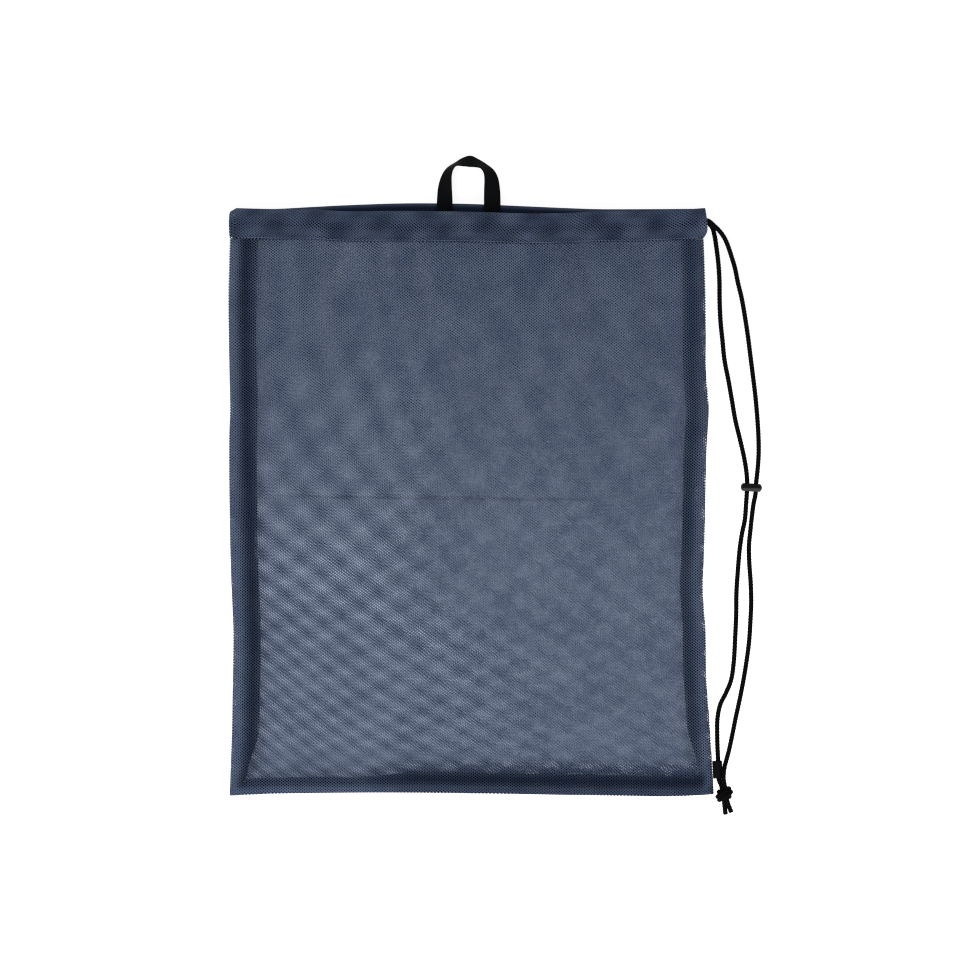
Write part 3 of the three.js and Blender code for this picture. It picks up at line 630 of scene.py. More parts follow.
class Finish:
    """A material with one surface shader, and short ways to add nodes to it."""

    def __init__(self, name, **sockets):
        """Makes the material and sets sockets of its shader."""
        self.material = bpy.data.materials.new(name)
        self.material.use_nodes = True
        self.tree = self.material.node_tree
        self.shader = self.tree.nodes["Principled BSDF"]
        for socket, value in sockets.items():
            self.shader.inputs[socket.replace("_", " ")].default_value = value

    def feed(self, socket, value):
        """Links an output to a socket, or sets the socket's own value."""
        if isinstance(value, bpy.types.NodeSocket):
            self.tree.links.new(value, socket)
        else:
            socket.default_value = value

    def node(self, kind, inputs=(), **settings):
        """Adds a node whose inputs are values or other nodes' outputs."""
        made = self.tree.nodes.new("ShaderNode" + kind)
        for key, value in settings.items():
            setattr(made, key, value)
        for key, value in dict(inputs).items():
            self.feed(made.inputs[key], value)
        return made

    def math(self, operation, *values):
        """One step of arithmetic."""
        return self.node("Math", dict(enumerate(values)), operation=operation).outputs[0]

    def levels(self, value, low, high, to_low, to_high):
        """A smooth step from to_low, where the value is low, to to_high, where it is high."""
        inputs = {"Value": value, "From Min": low, "From Max": high, "To Min": to_low, "To Max": to_high}
        return self.node("MapRange", inputs, interpolation_type="SMOOTHSTEP").outputs[0]

    def noise(self, scale, detail=2.0):
        """Noise in the bag's own frame, with so many blots to the metre as its scale says."""
        place = self.node("TexCoord").outputs["Object"]
        return self.node("TexNoise", {"Vector": place, "Scale": scale, "Detail": detail}).outputs["Fac"]

    def weave(self):
        """The two coordinates of the place on the weave or braid."""
        place = self.node("UVMap", uv_map="weave").outputs["UV"]
        split = self.node("SeparateXYZ", {"Vector": place})
        return split.outputs["X"], split.outputs["Y"]

    def value(self, name):
        """A value that the surface holds at its points."""
        return self.node("Attribute", attribute_name=name, attribute_type="GEOMETRY").outputs["Fac"]

    def mix(self, share, a, b):
        """Colour a where the share is 0 and b where it is 1, by the node's sockets for colours."""
        made = self.node("Mix", data_type="RGBA")
        for socket, value in zip((made.inputs[0], *made.inputs[6:8]), (share, a, b)):
            self.feed(socket, value)
        return made.outputs[2]

    def link(self, socket, output):
        """Links an output to the surface shader."""
        self.tree.links.new(output, self.shader.inputs[socket])

    def bump(self, height, distance, strength=1.0):
        """Raises the surface's relief by a height."""
        inputs = {"Height": height, "Distance": distance, "Strength": strength}
        self.link("Normal", self.node("Bump", inputs).outputs["Normal"])


# The knit's level: shares of the square of the cosine across and of the diagonal cosine
KNIT_SQUARE = 0.4
KNIT_DIAGONAL = 0.08
# Its holes: lift of their level by a closed value of 1, unevenness to each side by grain and by slack
# patches, softness of their edge to each side, and share that is covered where haze evens them out
CLOSING = 1.6
GRAIN_UNEVEN = 0.08
SLACK_UNEVEN = 0.1
HOLE_EDGE = 0.05
EVEN_COVER = 0.48
# Scales of its noises: wander across and along, grain, slack patches and lighter patches
KNIT_NOISE = {"across": 95.0, "along": 115.0, "grain": 900.0, "slack": 22.0, "patch": 38.0}


def mesh_cloth(name, cloth):
    """Knitted mesh: with cu and cv the cosines of the place across and along the repeat, the knit's level is
    cu(cv + a share of cu), and a share of the cosine of both places' sum draws it out to one side. A hole
    opens where the level passes the closeness, and the yarn bulges where it is low. The doubled value paints
    shade on the yarn, towards the folded colour, and painted shade also darkens the yarn towards the middle
    of each hole, seen where the holes are drawn closed. The closed value narrows the holes, the slip value
    lets the knit wander, and the haze value evens the holes out, as fine fibres across them do."""
    finish = Finish(name, Roughness=0.8, Specular_IOR_Level=0.08)
    turns = []
    for place, way, repeat in zip(finish.weave(), ("across", "along"), (cloth.across, cloth.along)):
        wander = finish.math("SUBTRACT", finish.noise(KNIT_NOISE[way]), 0.5)
        place = finish.math("MULTIPLY_ADD", wander, finish.value("slip"), place)
        turns.append(finish.math("MULTIPLY", place, 2 * np.pi / repeat))
    cu, cv = (finish.math("COSINE", turn) for turn in turns)
    level = finish.math("MULTIPLY", cu, finish.math("MULTIPLY_ADD", cu, KNIT_SQUARE, cv))
    diagonal = finish.math("COSINE", finish.math("ADD", *turns))
    level = finish.math("MULTIPLY_ADD", diagonal, KNIT_DIAGONAL, level)
    grain = finish.noise(KNIT_NOISE["grain"])
    uneven = finish.math("MULTIPLY_ADD", grain, 2 * GRAIN_UNEVEN, cloth.closeness - GRAIN_UNEVEN)
    slack = finish.math("MULTIPLY_ADD", finish.noise(KNIT_NOISE["slack"]), 2 * SLACK_UNEVEN, -SLACK_UNEVEN)
    narrowed = finish.math("MULTIPLY_ADD", finish.value("closed"), CLOSING, finish.math("ADD", uneven, slack))
    above = finish.math("SUBTRACT", level, narrowed)
    yarns = finish.levels(above, -HOLE_EDGE, HOLE_EDGE, 1.0, 0.0)
    even = finish.math("SUBTRACT", EVEN_COVER, yarns)
    finish.link("Alpha", finish.math("MULTIPLY_ADD", finish.value("haze"), even, yarns))
    patch = finish.levels(finish.noise(KNIT_NOISE["patch"]), 0.35, 0.65, 0.0, 1.0)
    yarn = finish.mix(patch, tuple(cloth.thread), tuple(cloth.tone_and_highlight))
    # painted shade: the yarn darkens towards each hole's middle, and the doubled value adds painted shade
    painted_hole_shade = finish.levels(level, 0.3, 1.3, 0.0, 0.75)
    shade = finish.math("MAXIMUM", finish.value("doubled"), painted_hole_shade)
    finish.link("Base Color", finish.mix(shade, yarn, tuple(cloth.folded)))
    finish.link("Roughness", finish.levels(grain, 0.3, 0.7, 0.7, 0.9))
    finish.bump(finish.levels(above, -0.8, 0.1, 1.0, 0.0), 0.0003, 0.6)
    return finish.material


def sewing_thread(name, cloth):
    """Sewing thread: the yarn's own colour, lighter where the fibres of the twist catch the light."""
    finish = Finish(name, Roughness=0.6, Specular_IOR_Level=0.3)
    fibre = finish.noise(2400.0, 3.0)
    shade = finish.levels(fibre, 0.35, 0.65, 0.0, 1.0)
    finish.link("Base Color", finish.mix(shade, tuple(cloth.thread), tuple(cloth.tone_and_highlight)))
    finish.link("Roughness", finish.levels(fibre, 0.3, 0.7, 0.5, 0.75))
    finish.bump(fibre, 0.0001, 0.5)
    return finish.material


def braided_cord(name, cord):
    """Braid: strands crown where the cosine of the turns round the cord times that of the place along it is
    high, and a painted highlight colours the crowns lighter."""
    finish = Finish(name, Roughness=0.6, Specular_IOR_Level=0.02)
    along, around = finish.weave()
    lengthwise = finish.math("COSINE", finish.math("MULTIPLY", along, 2 * np.pi / cord.braid))
    crosswise = finish.math("COSINE", finish.math("MULTIPLY", around, BRAID_AROUND * 2 * np.pi))
    crown = finish.math("MULTIPLY", lengthwise, crosswise)
    fibre = finish.noise(2600.0, 3.0)
    # painted highlight on the crowns of the braid, broken up by fibre noise
    top = finish.levels(finish.math("MULTIPLY_ADD", fibre, 0.6, crown), 0.1, 1.2, 0.0, 1.0)
    finish.link("Base Color", finish.mix(top, tuple(cord.colour), tuple(cord.tone_and_highlight)))
    finish.link("Roughness", finish.levels(fibre, 0.3, 0.7, 0.5, 0.75))
    finish.bump(fibre, 0.0002, 0.5)
    return finish.material


FLOAT_WIDTH = 0.8  # width of a float of the webbing, in ribs


def ribbed_webbing(name, webbing):
    """Webbing: ribs lie across it as the cosine of the place along it, each a row of floats that is offset
    from its neighbours by half a float. A painted highlight colours the tops of the floats lighter."""
    finish = Finish(name, Roughness=0.7, Specular_IOR_Level=0.03)
    along, across = finish.weave()
    rib = finish.math("COSINE", finish.math("MULTIPLY", along, 2 * np.pi / webbing.rib))
    half_turn = finish.math("MULTIPLY", along, np.pi / webbing.rib)
    crosswise = finish.math("MULTIPLY_ADD", across, 2 * np.pi / (FLOAT_WIDTH * webbing.rib), half_turn)
    floats = finish.math("COSINE", crosswise)
    fibre = finish.noise(3000.0, 3.0)
    height = finish.math("ADD", finish.math("MULTIPLY", rib, floats), fibre)
    # painted highlight on the tops of the ribs' floats
    top = finish.levels(height, 0.2, 1.3, 0.0, 1.0)
    finish.link("Base Color", finish.mix(top, tuple(webbing.colour), tuple(webbing.tone_and_highlight)))
    finish.link("Roughness", finish.levels(fibre, 0.3, 0.7, 0.55, 0.8))
    finish.bump(height, 0.00015, 0.5)
    return finish.material


def moulded_plastic(name, bead):
    """Moulded plastic: a fine matt grain, and a painted highlight down the side that faces the key light."""
    finish = Finish(name, Roughness=0.32, Specular_IOR_Level=0.08)
    grain = finish.noise(2200.0, 4.0)
    patch = finish.math("MULTIPLY_ADD", finish.noise(260.0), 0.0012, finish.weave()[1])
    # painted highlight: lighter down the bead's side towards the key light, its edge broken up by noise
    lit = finish.levels(patch, 0.0006, 0.0022, 0.0, 1.0)
    finish.link("Base Color", finish.mix(lit, tuple(bead.colour), tuple(bead.painted_highlight)))
    finish.link("Roughness", finish.levels(grain, 0.3, 0.7, 0.26, 0.4))
    finish.bump(grain, 0.00008, 0.4)
    return finish.material


# Stage

SENSOR = 36.0  # width of the camera's sensor, in millimetres
FLOOR_HALF = 6.0
FLOOR_LEVEL = -0.0002
KEY_PLACE = (-0.9, -1.9, 2.0)
KEY_SIZE = 1.6

# Part of the floor that the bag covers: middle, half sizes and soft border. Towards the bag's foot it reaches
# further to the right, from one y to another, and its glow grows from one y to another.
COVERED_MIDDLE = (0.001, -0.001)
COVERED_HALF = (0.222, 0.274)
COVERED_BORDER = 0.012
COVERED_LEAN = ((-0.28, -0.10), 0.0085)
GLOW_GROWS = (0.26, -0.10)


def add_camera(scene, stage):
    """A camera straight above the aim, as far off as the lens needs for the view's width."""
    camera = bpy.data.objects.new("camera", bpy.data.cameras.new("camera"))
    camera.data.lens = stage.lens
    camera.data.sensor_width = SENSOR
    camera.data.clip_end = 50.0
    camera.location = Vector(stage.aim) + Vector((0, 0, stage.frame_width * stage.lens / SENSOR))
    scene.collection.objects.link(camera)
    scene.camera = camera


def pale_floor(stage):
    """Pale floor: the larger of the distances across and along from the part that the bag covers tells that
    part from the white border round it. Under the bag it is tinted blue, painted light that has passed
    through the navy mesh, and it glows more towards the bag's lower end, a painted pool of light."""
    finish = Finish("pale_floor", Roughness=0.9, Specular_IOR_Level=0.0)
    place = finish.node("SeparateXYZ", {"Vector": finish.node("TexCoord").outputs["Object"]})
    x, y = place.outputs["X"], place.outputs["Y"]
    heights, reach = COVERED_LEAN
    lean = finish.levels(y, *heights, reach, 0.0)
    off_x = finish.math("SUBTRACT", x, finish.math("MULTIPLY_ADD", lean, 0.5, COVERED_MIDDLE[0]))
    off_y = finish.math("SUBTRACT", y, COVERED_MIDDLE[1])
    half_width = finish.math("MULTIPLY_ADD", lean, 0.5, COVERED_HALF[0])
    across = finish.math("SUBTRACT", finish.math("ABSOLUTE", off_x), half_width)
    along = finish.math("SUBTRACT", finish.math("ABSOLUTE", off_y), COVERED_HALF[1])
    outside = finish.levels(finish.math("MAXIMUM", across, along), -COVERED_BORDER, 0.0, 0.0, 1.0)
    under = finish.levels(y, *GLOW_GROWS, 0.0, stage.under)
    # painted light: the floor's blue tint under the bag, in its colour and in its glow
    finish.link("Base Color", finish.mix(outside, tuple(stage.floor), tuple(stage.border)))
    finish.link("Emission Color", finish.mix(outside, tuple(stage.floor), (1.0, 1.0, 1.0, 1.0)))
    finish.link("Emission Strength", finish.math("MULTIPLY_ADD", outside, stage.glow, under))
    return finish.material


def add_floor(scene, stage):
    """A square floor just under the bag."""
    corners = FLOOR_HALF * np.array([(-1, -1), (1, -1), (1, 1), (-1, 1)])
    mesh = bpy.data.meshes.new("floor")
    mesh.from_pydata([(x, y, FLOOR_LEVEL) for x, y in corners], [], [(0, 1, 2, 3)])
    mesh.materials.append(pale_floor(stage))
    floor = bpy.data.objects.new("floor", mesh)
    scene.collection.objects.link(floor)


def add_light(scene, stage):
    """Even white light from all sides, and one broad soft key light that faces the bag."""
    world = bpy.data.worlds.new("studio")
    world.use_nodes = True
    background = world.node_tree.nodes["Background"]
    background.inputs["Color"].default_value = (1.0, 1.0, 1.0, 1.0)
    background.inputs["Strength"].default_value = stage.sky
    scene.world = world
    light = bpy.data.lights.new("key", "AREA")
    light.size = KEY_SIZE
    light.energy = stage.key
    key = bpy.data.objects.new("key", light)
    key.location = KEY_PLACE
    key.rotation_euler = (-Vector(KEY_PLACE)).to_track_quat("-Z", "Y").to_euler()
    scene.collection.objects.link(key)


def add_stage(scene, stage):
    """The camera, the floor and the light, with the knit kept sharp in the picture."""
    add_camera(scene, stage)
    add_floor(scene, stage)
    add_light(scene, stage)
    scene.view_settings.view_transform = "Standard"
    scene.cycles.transparent_max_bounces = 32
    scene.cycles.use_denoising = False  # it would smear the knit
    scene.cycles.filter_width = 1.2


# Cords

def braided(path, side, up, cord, sides, nap):
    """A tube whose radius rises and falls by the braid's relief: once for each strand round it, and once each
    repeat along it."""
    length = lengths_along(path)
    share = np.arange(sides + 1) / sides
    crosswise = np.cos(BRAID_AROUND * 2 * np.pi * share)[None, :-1]
    wave = np.cos(2 * np.pi * length / cord.braid)[:, None] * crosswise
    radius = cord.diameter / 2 + nap + cord.relief * wave
    uv = np.stack(np.broadcast_arrays(length[:, None], share[None]), axis=-1)
    return tube(path, side, up, radius, uv)


def lying_cord(path, cord, sides, nap):
    """A braided tube whose crosswise directions are level and upright."""
    ahead = unit(np.gradient(path, axis=0))
    side = unit(np.cross(ahead, UP))
    return braided(path, side, np.cross(side, ahead), cord, sides, nap)


def laid(points, cord):
    """Even steps along a strand, lifted where its nap would reach below the surface."""
    path = even_path(points, CORD_STEP)
    path[:, 2] = np.maximum(path[:, 2], cord.diameter / 2 + cord.fuzz + cord.relief)
    return path


def hem_route():
    """The cord's way inside the hem: along the front run, round the left end and along the back run."""
    turn_radius = (front_low() - HEM_THICK / 2) / 2
    turn_x = HEM_LEFT_END + turn_radius + HEM_THICK / 2
    stations = hem_stations(CORD_HEM_END, run=220, turn=20)
    on_front = through(CORD_ON_FRONT[:, 0], CORD_ON_FRONT[:, 1], np.maximum(stations["x"], turn_x))
    on_back = through(CORD_ON_BACK[:, 0], CORD_ON_BACK[:, 1], np.maximum(stations["x"], turn_x))
    side = blend(on_front, on_back, stations["settle"])
    y = stations["rim"] - HEM_HEIGHT / 2 + side
    return np.stack([stations["x"], y, stations["z"] - stations["settle"] * SEAT], axis=1)


def knot_wrap(cord):
    """The wrap of the knot: a flattened helix round an axis that lies turned across the strands, whose ends
    draw in to its middle."""
    t = np.linspace(0, 1, KNOT_STEPS)
    angle = 2 * np.pi * KNOT_TURNS * (t - 0.5) - np.pi / 2
    tuck = blend(KNOT_TUCK[0], 1.0, smooth_step(np.minimum(t, 1 - t) / KNOT_TUCK[1]))
    across = np.array((np.cos(KNOT_TURN), np.sin(KNOT_TURN), 0.0))
    axis = np.array((-np.sin(KNOT_TURN), np.cos(KNOT_TURN), 0.0))
    out = KNOT_WRAP[0] * np.cos(angle)[:, None] * across + KNOT_WRAP[1] * np.sin(angle)[:, None] * UP
    travel = KNOT_PITCH * KNOT_TURNS * (0.5 - t)
    path = KNOT_PLACE + tuck[:, None] * out + travel[:, None] * axis
    ahead = unit(np.gradient(path, axis=0))
    side = unit(np.cross(ahead, axis))
    return braided(path, side, np.cross(side, ahead), cord, CORD_SIDES, cord.fuzz)


def bead_surface(bead):
    """The bead: an oblong with two holes, full in the middle and rounded off to its outline. Each half of a
    face runs in rings from a hole's circle to the half outline. It stands off the middle plane by half the
    depth times √(1 - (1 - d)²), d being the distance from the outline over the rounding, at most 1. The other
    half and the other face mirror it, and walls join the holes' circles."""
    radius = bead.height / 2
    reach = bead.length / 2 - radius
    centre = np.array((BEAD_HOLES_APART / 2, 0.0))
    flats, round_end, upright, rings = BEAD_STEPS
    level = np.linspace(0, reach, flats)[:-1]
    turn = np.linspace(-np.pi / 2, np.pi / 2, round_end)
    middle = np.linspace(radius, -radius, upright)[1:-1]
    x = np.concatenate([level, reach + radius * np.cos(turn), level[::-1], np.zeros_like(middle)])
    flat = np.full_like(level, radius)
    z = np.concatenate([-flat, radius * np.sin(turn), flat, middle])
    outline = np.stack([x, z], axis=1)
    ray = unit(outline - centre)
    share = np.sin(np.linspace(0, np.pi / 2, rings))[:, None, None]
    face = blend(centre + BEAD_HOLE / 2 * ray, outline, share)
    inward = radius - np.hypot(np.maximum(face[..., 0] - reach, 0), face[..., 1])
    stand = bead.depth / 2 * np.sqrt(1 - (1 - np.clip(inward / bead.edge, 0, 1)) ** 2)
    half = np.stack([face[..., 0], -stand, face[..., 1]], axis=-1)
    loop = np.concatenate([half, half[::-1] * np.array((1, -1, 1))])
    rows, steps = loop.shape[:2]
    quads = cells(rows, steps, steps) % (rows * steps)
    quads = quads[quads[:, 0] // steps != len(half) - 1]
    right = loop.reshape(-1, 3)
    points = np.concatenate([right, right * np.array((-1, 1, 1))])
    faces = np.concatenate([quads, quads[:, ::-1] + rows * steps])
    _, first, same = np.unique(np.round(points, 8) + 0.0, axis=0, return_index=True, return_inverse=True)
    faces = same.reshape(-1)[faces]
    turned = swung(points[first], BEAD_TURN)
    return outward(Surface(turned + BEAD_PLACE, [faces], [turned[faces][..., :2] * np.array((1, -1))]))


# Cloth

def front_low():
    """Height of the front run's middle line where it lies on the back run."""
    return 1.5 * HEM_THICK + SEAT


def front_hem_height(x):
    """Height of the front hem's middle line: lifted by (1 - t⁴)² across the mouth, t from its middle."""
    t = np.clip((x - MOUTH_MIDDLE) / MOUTH_HALF, -1, 1)
    return front_low() + MOUTH_LIFT * (1 - t ** 4) ** 2


def gather_fade(y, hem_line, length):
    """s²(1 - s) along a gather, from its lower end to the hem, scaled to reach 1."""
    s = np.clip((y - hem_line + length) / length, 0, 1)
    return s * s * (1 - s) * 27 / 4


def front_height(x, y, at_seam):
    """Height of the front panel: from the seams it rises by an exponential roll and slope to the crown,
    blends to the hem's height, and carries the gathers and dents as Gaussian swells."""
    hem_line = front_rim(x) - HEM_HEIGHT
    to_hem = smooth_step((y - hem_line) / MOUTH_SLOPE + 1)
    side = np.maximum(np.minimum(x - left_edge(y), right_edge(y) - x), 1e-6)
    low = np.maximum(y - bottom_edge(x), 1e-6)
    inward = (side ** -CORNER + low ** -CORNER) ** (-1 / CORNER)
    roll = 1 - np.exp(-inward / SEAM_ROLL)
    swell = SEAM_ROLL_SHARE * roll + (1 - SEAM_ROLL_SHARE) * (1 - np.exp(-inward / SEAM_SLOPE))
    share = blend(swell, roll, to_hem ** 4)
    crown = blend(CROWN, front_hem_height(x), to_hem)
    for place, width, length, height in GATHERS:
        crown = crown + height * gather_fade(y, hem_line, length) * np.exp(-((x - place) / width) ** 2)
    for middle_x, middle_y, across, along, height in DENTS:
        crown = crown + height * np.exp(-((x - middle_x) / across) ** 2 - ((y - middle_y) / along) ** 2)
    return blend(at_seam, crown, share)


def uneven_shares(count, crowding):
    """Shares from 0 to 1 that lie closer together towards both ends: k - c sin(2πk)/2π."""
    k = np.linspace(0, 1, count)
    return k - crowding * np.sin(2 * np.pi * k) / (2 * np.pi)


def panel_places(rim, across, along, top):
    """x and y of a panel's grid between the side edges, the bottom edge and a stitch line under the hem."""
    level = blend(bottom_edge(0.0), rim(0.0) - HEM_HEIGHT, along)[:, None]
    x = blend(left_edge(level), right_edge(level), across[None])
    y = blend(bottom_edge(x), rim(x) - HEM_HEIGHT - top, along[:, None])
    return x, y


def stretched(x, y):
    """Places on the knitted lattice of a panel: its own x and y, each shifted by slow sine waves."""
    u, v = x.copy(), y.copy()
    for across, along, phase, shift_u, shift_v in STRETCHES:
        u = u + shift_u * np.sin(2 * np.pi * (x / across + y / along) + phase)
        v = v + shift_v * np.sin(2 * np.pi * (y / across - x / along) + 2 * phase)
    return u, v


def bell(t, width):
    """exp(-(t / width)²)."""
    return np.exp(-(t / width) ** 2)


def band(distance, middle, outer, inner):
    """A bell across an allowance, with one width towards the edge and another inwards."""
    return bell(distance - middle, np.where(distance < middle, outer, inner))


def from_edges(x, y):
    """Distances from the left, right and bottom edges."""
    return x - left_edge(y), right_edge(y) - x, y - bottom_edge(x)


# Bands of painted shade over the allowances: darkness, distance of the darkest line from the edge, widths
# towards the edge and inwards. The side ones have a row for their lower and their upper end, the bottom one
# for its left and its right.
LEFT_BAND = ((0.80, 0.0190, 0.0088, 0.0112), (0.80, 0.0155, 0.0088, 0.0112))
RIGHT_BAND = ((0.57, 0.0170, 0.0093, 0.0080), (0.57, 0.0135, 0.0140, 0.0080))
BOTTOM_BAND = ((0.60, 0.0105, 0.0065, 0.0110), (0.92, 0.0135, 0.0130, 0.0130))
# Painted shade along the folded edges: bottom left, bottom right and right, each with its distance and width
BOTTOM_FOLD_SHADE = ((0.32, 0.70), 0.003, 0.007)
RIGHT_FOLD_SHADE = (0.12, 0.004, 0.006)
# Start and length of the change from one row to the other, and lengths of the fades at the corners
UP_THE_SIDES = (-0.02, 0.14)
ALONG_THE_BOTTOM = (-0.11, 0.07)
CORNER_FADE = 0.012
LEFT_CORNER = (0.040, 0.008)  # length over which the left band moves out at the corner, and how far


def seam_band(distance, rows, share, shift=0.0):
    """The band of painted shade over an allowance, its two rows blended by a share and its darkest line
    shifted.
    """
    dark, middle, outer, inner = (blend(a, b, share) for a, b in zip(*rows))
    return dark * band(distance, middle + shift, outer, inner)


def seam_shade(x, y):
    """How far painted shade darkens the cloth over the seam allowances: a bell across each one, the strongest
    counting. The side ones lie nearer the edge towards the hem, and the bottom one is broader and darker to
    the right. Painted shade darkens the folded edges too."""
    left, right, low = from_edges(x, y)
    upper = ramp(y, *UP_THE_SIDES)
    rightward = ramp(x, *ALONG_THE_BOTTOM)
    moved_out = LEFT_CORNER[1] * (smooth_step(low / LEFT_CORNER[0]) - 1)
    over_sides = np.maximum(
        seam_band(left, LEFT_BAND, upper, moved_out), seam_band(right, RIGHT_BAND, upper))
    over_low = seam_band(low, BOTTOM_BAND, rightward)
    inside = smooth_step(np.minimum(left, right) / CORNER_FADE)
    # painted shade along the folded edges
    shares, at, width = BOTTOM_FOLD_SHADE
    low_fold_shade = blend(*shares, rightward) * bell(low - at, width)
    right_fold_shade = RIGHT_FOLD_SHADE[0] * bell(right - RIGHT_FOLD_SHADE[1], RIGHT_FOLD_SHADE[2])
    shade = np.maximum(over_sides * smooth_step(low / CORNER_FADE), over_low * inside)
    return np.maximum(shade, np.maximum(low_fold_shade, right_fold_shade))


# Soft folds that hang from the front hem: x at the hem, half width, shift right a metre down, lightness.
# Their dark streaks are painted shade on the yarn.
STREAKS = np.array([
    (-0.194, 0.008, 0.10, 0.7),
    (-0.156, 0.009, 0.05, -0.9),
    (-0.114, 0.010, -0.25, 1.1),
    (-0.080, 0.007, -0.12, 0.7),
    (-0.065, 0.008, 0.00, -1.0),
    (-0.050, 0.007, 0.05, 0.6),
    (0.034, 0.009, 0.10, -0.5),
    (0.064, 0.012, 0.05, -0.9),
    (0.102, 0.016, 0.05, 0.7),
    (0.172, 0.010, -0.05, 0.7),
    (0.188, 0.007, -0.05, -0.6),
])
STREAK_LENGTH = 0.125


def hanging_folds(x, y):
    """Lightness of the soft folds under the hem: bells across x that fade out down their length. Where it is
    below 0 it becomes painted shade on the front's yarn.
    """
    down = front_rim(x) - HEM_HEIGHT - y
    light = np.zeros_like(x)
    for place, width, shift, strength in STREAKS:
        light = light + strength * bell(x - place - shift * down, width)
    return light * (1 - smooth_step(down / STREAK_LENGTH))


# Lines along which the knit is drawn closed: edge, strength, distance from the edge and half width.
LEFT, RIGHT, LOW = range(3)
CLOSED_LINES = (
    (LEFT, 0.6, 0.0, 0.0040),
    (LEFT, 0.9, 0.0065, 0.0040),
    (RIGHT, 0.9, 0.0055, 0.0055),
    (LOW, 1.3, 0.0020, 0.0060),
)
# The line over the bottom seam: strengths on the left and on the right, distance and half width
SEAM_LINE = ((0.10, 0.55), 0.0205, 0.0075)
DRAWN_OPEN = 0.040
FOLDS_OPEN = 0.15
EDGE_HAZE = (0.6, 0.002, 0.006, 0.010)  # strength, distance, half width and length of the fade at the corner


def openness(x, y, at_edges):
    """How far the knit is drawn closed, below 0 where it is drawn open: closed along lines at the edges and
    over the bottom seam, by a share, and opened by the soft folds under the hem where they are light."""
    distances = from_edges(x, y)
    closed = sum(strength * bell(distances[edge] - at, width) for edge, strength, at, width in CLOSED_LINES)
    strengths, at, width = SEAM_LINE
    closed = closed + blend(*strengths, ramp(x, *ALONG_THE_BOTTOM)) * bell(distances[LOW] - at, width)
    return at_edges * closed - DRAWN_OPEN - FOLDS_OPEN * hanging_folds(x, y)


def edge_haze(x, y):
    """Haze along the left edge, where the plies of the fold cross."""
    left, _, low = from_edges(x, y)
    strength, at, width, fade = EDGE_HAZE
    return strength * bell(left - at, width) * smooth_step(low / fade)


# The front's shares of the edges' closing and haze, share of its soft folds' lightness painted as shade,
# pull of its gathers, wander
FRONT_CLOSED = 0.2
FRONT_HAZE = 0.5
FOLDS_PAINTED_SHADE = 0.20
GATHER_PULL = 0.9
FRONT_SLIP = 0.0003
PANEL_CLEAR = 0.00005  # clearance between a panel and the hem
FRONT_SEAT = 1.52  # height of the front panel's middle at the seams, in plies
# Grids of the panels, across and along: places, and their crowding towards the edges
FRONT_GRID = ((150, 0.6), (190, 0.5))
BACK_GRID = ((110, 0.4), (130, 0.4))
RIDGE_ROWS = (11, 2.5)  # rows over the crease's ridge, and half widths that they reach to each side


def front_panel(cloth):
    """The front panel: a wall over the hollow, with a low ridge along the fold crease."""
    rows, reach = RIDGE_ROWS
    ridge = CREASE_AT + np.linspace(-reach, reach, rows) * CREASE_WIDTH / PANEL_LENGTH
    along = np.sort(np.concatenate([uneven_shares(*FRONT_GRID[1]), ridge]))
    x, y = panel_places(front_rim, uneven_shares(*FRONT_GRID[0]), along, PANEL_CLEAR)
    z = front_height(x, y, FRONT_SEAT * cloth.thickness)
    crease = bell((along[:, None] - CREASE_AT) * PANEL_LENGTH, CREASE_WIDTH)
    crease = crease * ramp(x, CREASE_ENDS[0], CREASE_FADE) * ramp(-x, -CREASE_ENDS[1], CREASE_FADE)
    z = z + CREASE_HEIGHT * crease
    u, v = stretched(x, y)
    hem_line = front_rim(x) - HEM_HEIGHT
    for place, width, length, height in GATHERS:
        t = (x - place) / width
        u = u + GATHER_PULL * height * t * np.exp(-t * t) * gather_fade(y, hem_line, length)
    # painted shade over the seam allowances and along the crease
    shade = np.maximum(seam_shade(x, y), CREASE_SHADE * crease)
    values = {
        # doubled: painted shade over the seams, along the crease and in the dark streaks of the folds
        "doubled": np.maximum(shade, -FOLDS_PAINTED_SHADE * hanging_folds(x, y)),
        "closed": openness(x, y, FRONT_CLOSED),
        "slip": np.full_like(x, FRONT_SLIP),
        "haze": FRONT_HAZE * edge_haze(x, y),
    }
    return wall(np.stack([x, y, z], axis=-1), cloth.thickness, np.stack([u, v], axis=-1), values=values)


# Rows of light spots, where the holes of both panels meet, in turns to the metre down from a height.
# First set: turns across, with more of them above a way down and below another, places where its turns begin,
# turns down, lean below a way down, and crowding to the left of an x, over a stretch of the way down.
# Second set: turns across, turns down and lean.
SPOT_ZERO = 0.158
FIRST_ACROSS = -26
FIRST_ABOVE = (-55, 0.055)
FIRST_BELOW = (-15, 0.10)
FIRST_FROM = (0.1715, 0.0733)
FIRST_DOWN = 2.2
FIRST_LEAN = (80, 0.01)
FIRST_CROWDS = (87, -0.05, (0.16, 0.20))
SECOND_SET = (23, 14, 50)


def past(t, rate, start):
    """A rate for each metre that t is past a start, and 0 before it."""
    return rate * np.maximum(t - start, 0)


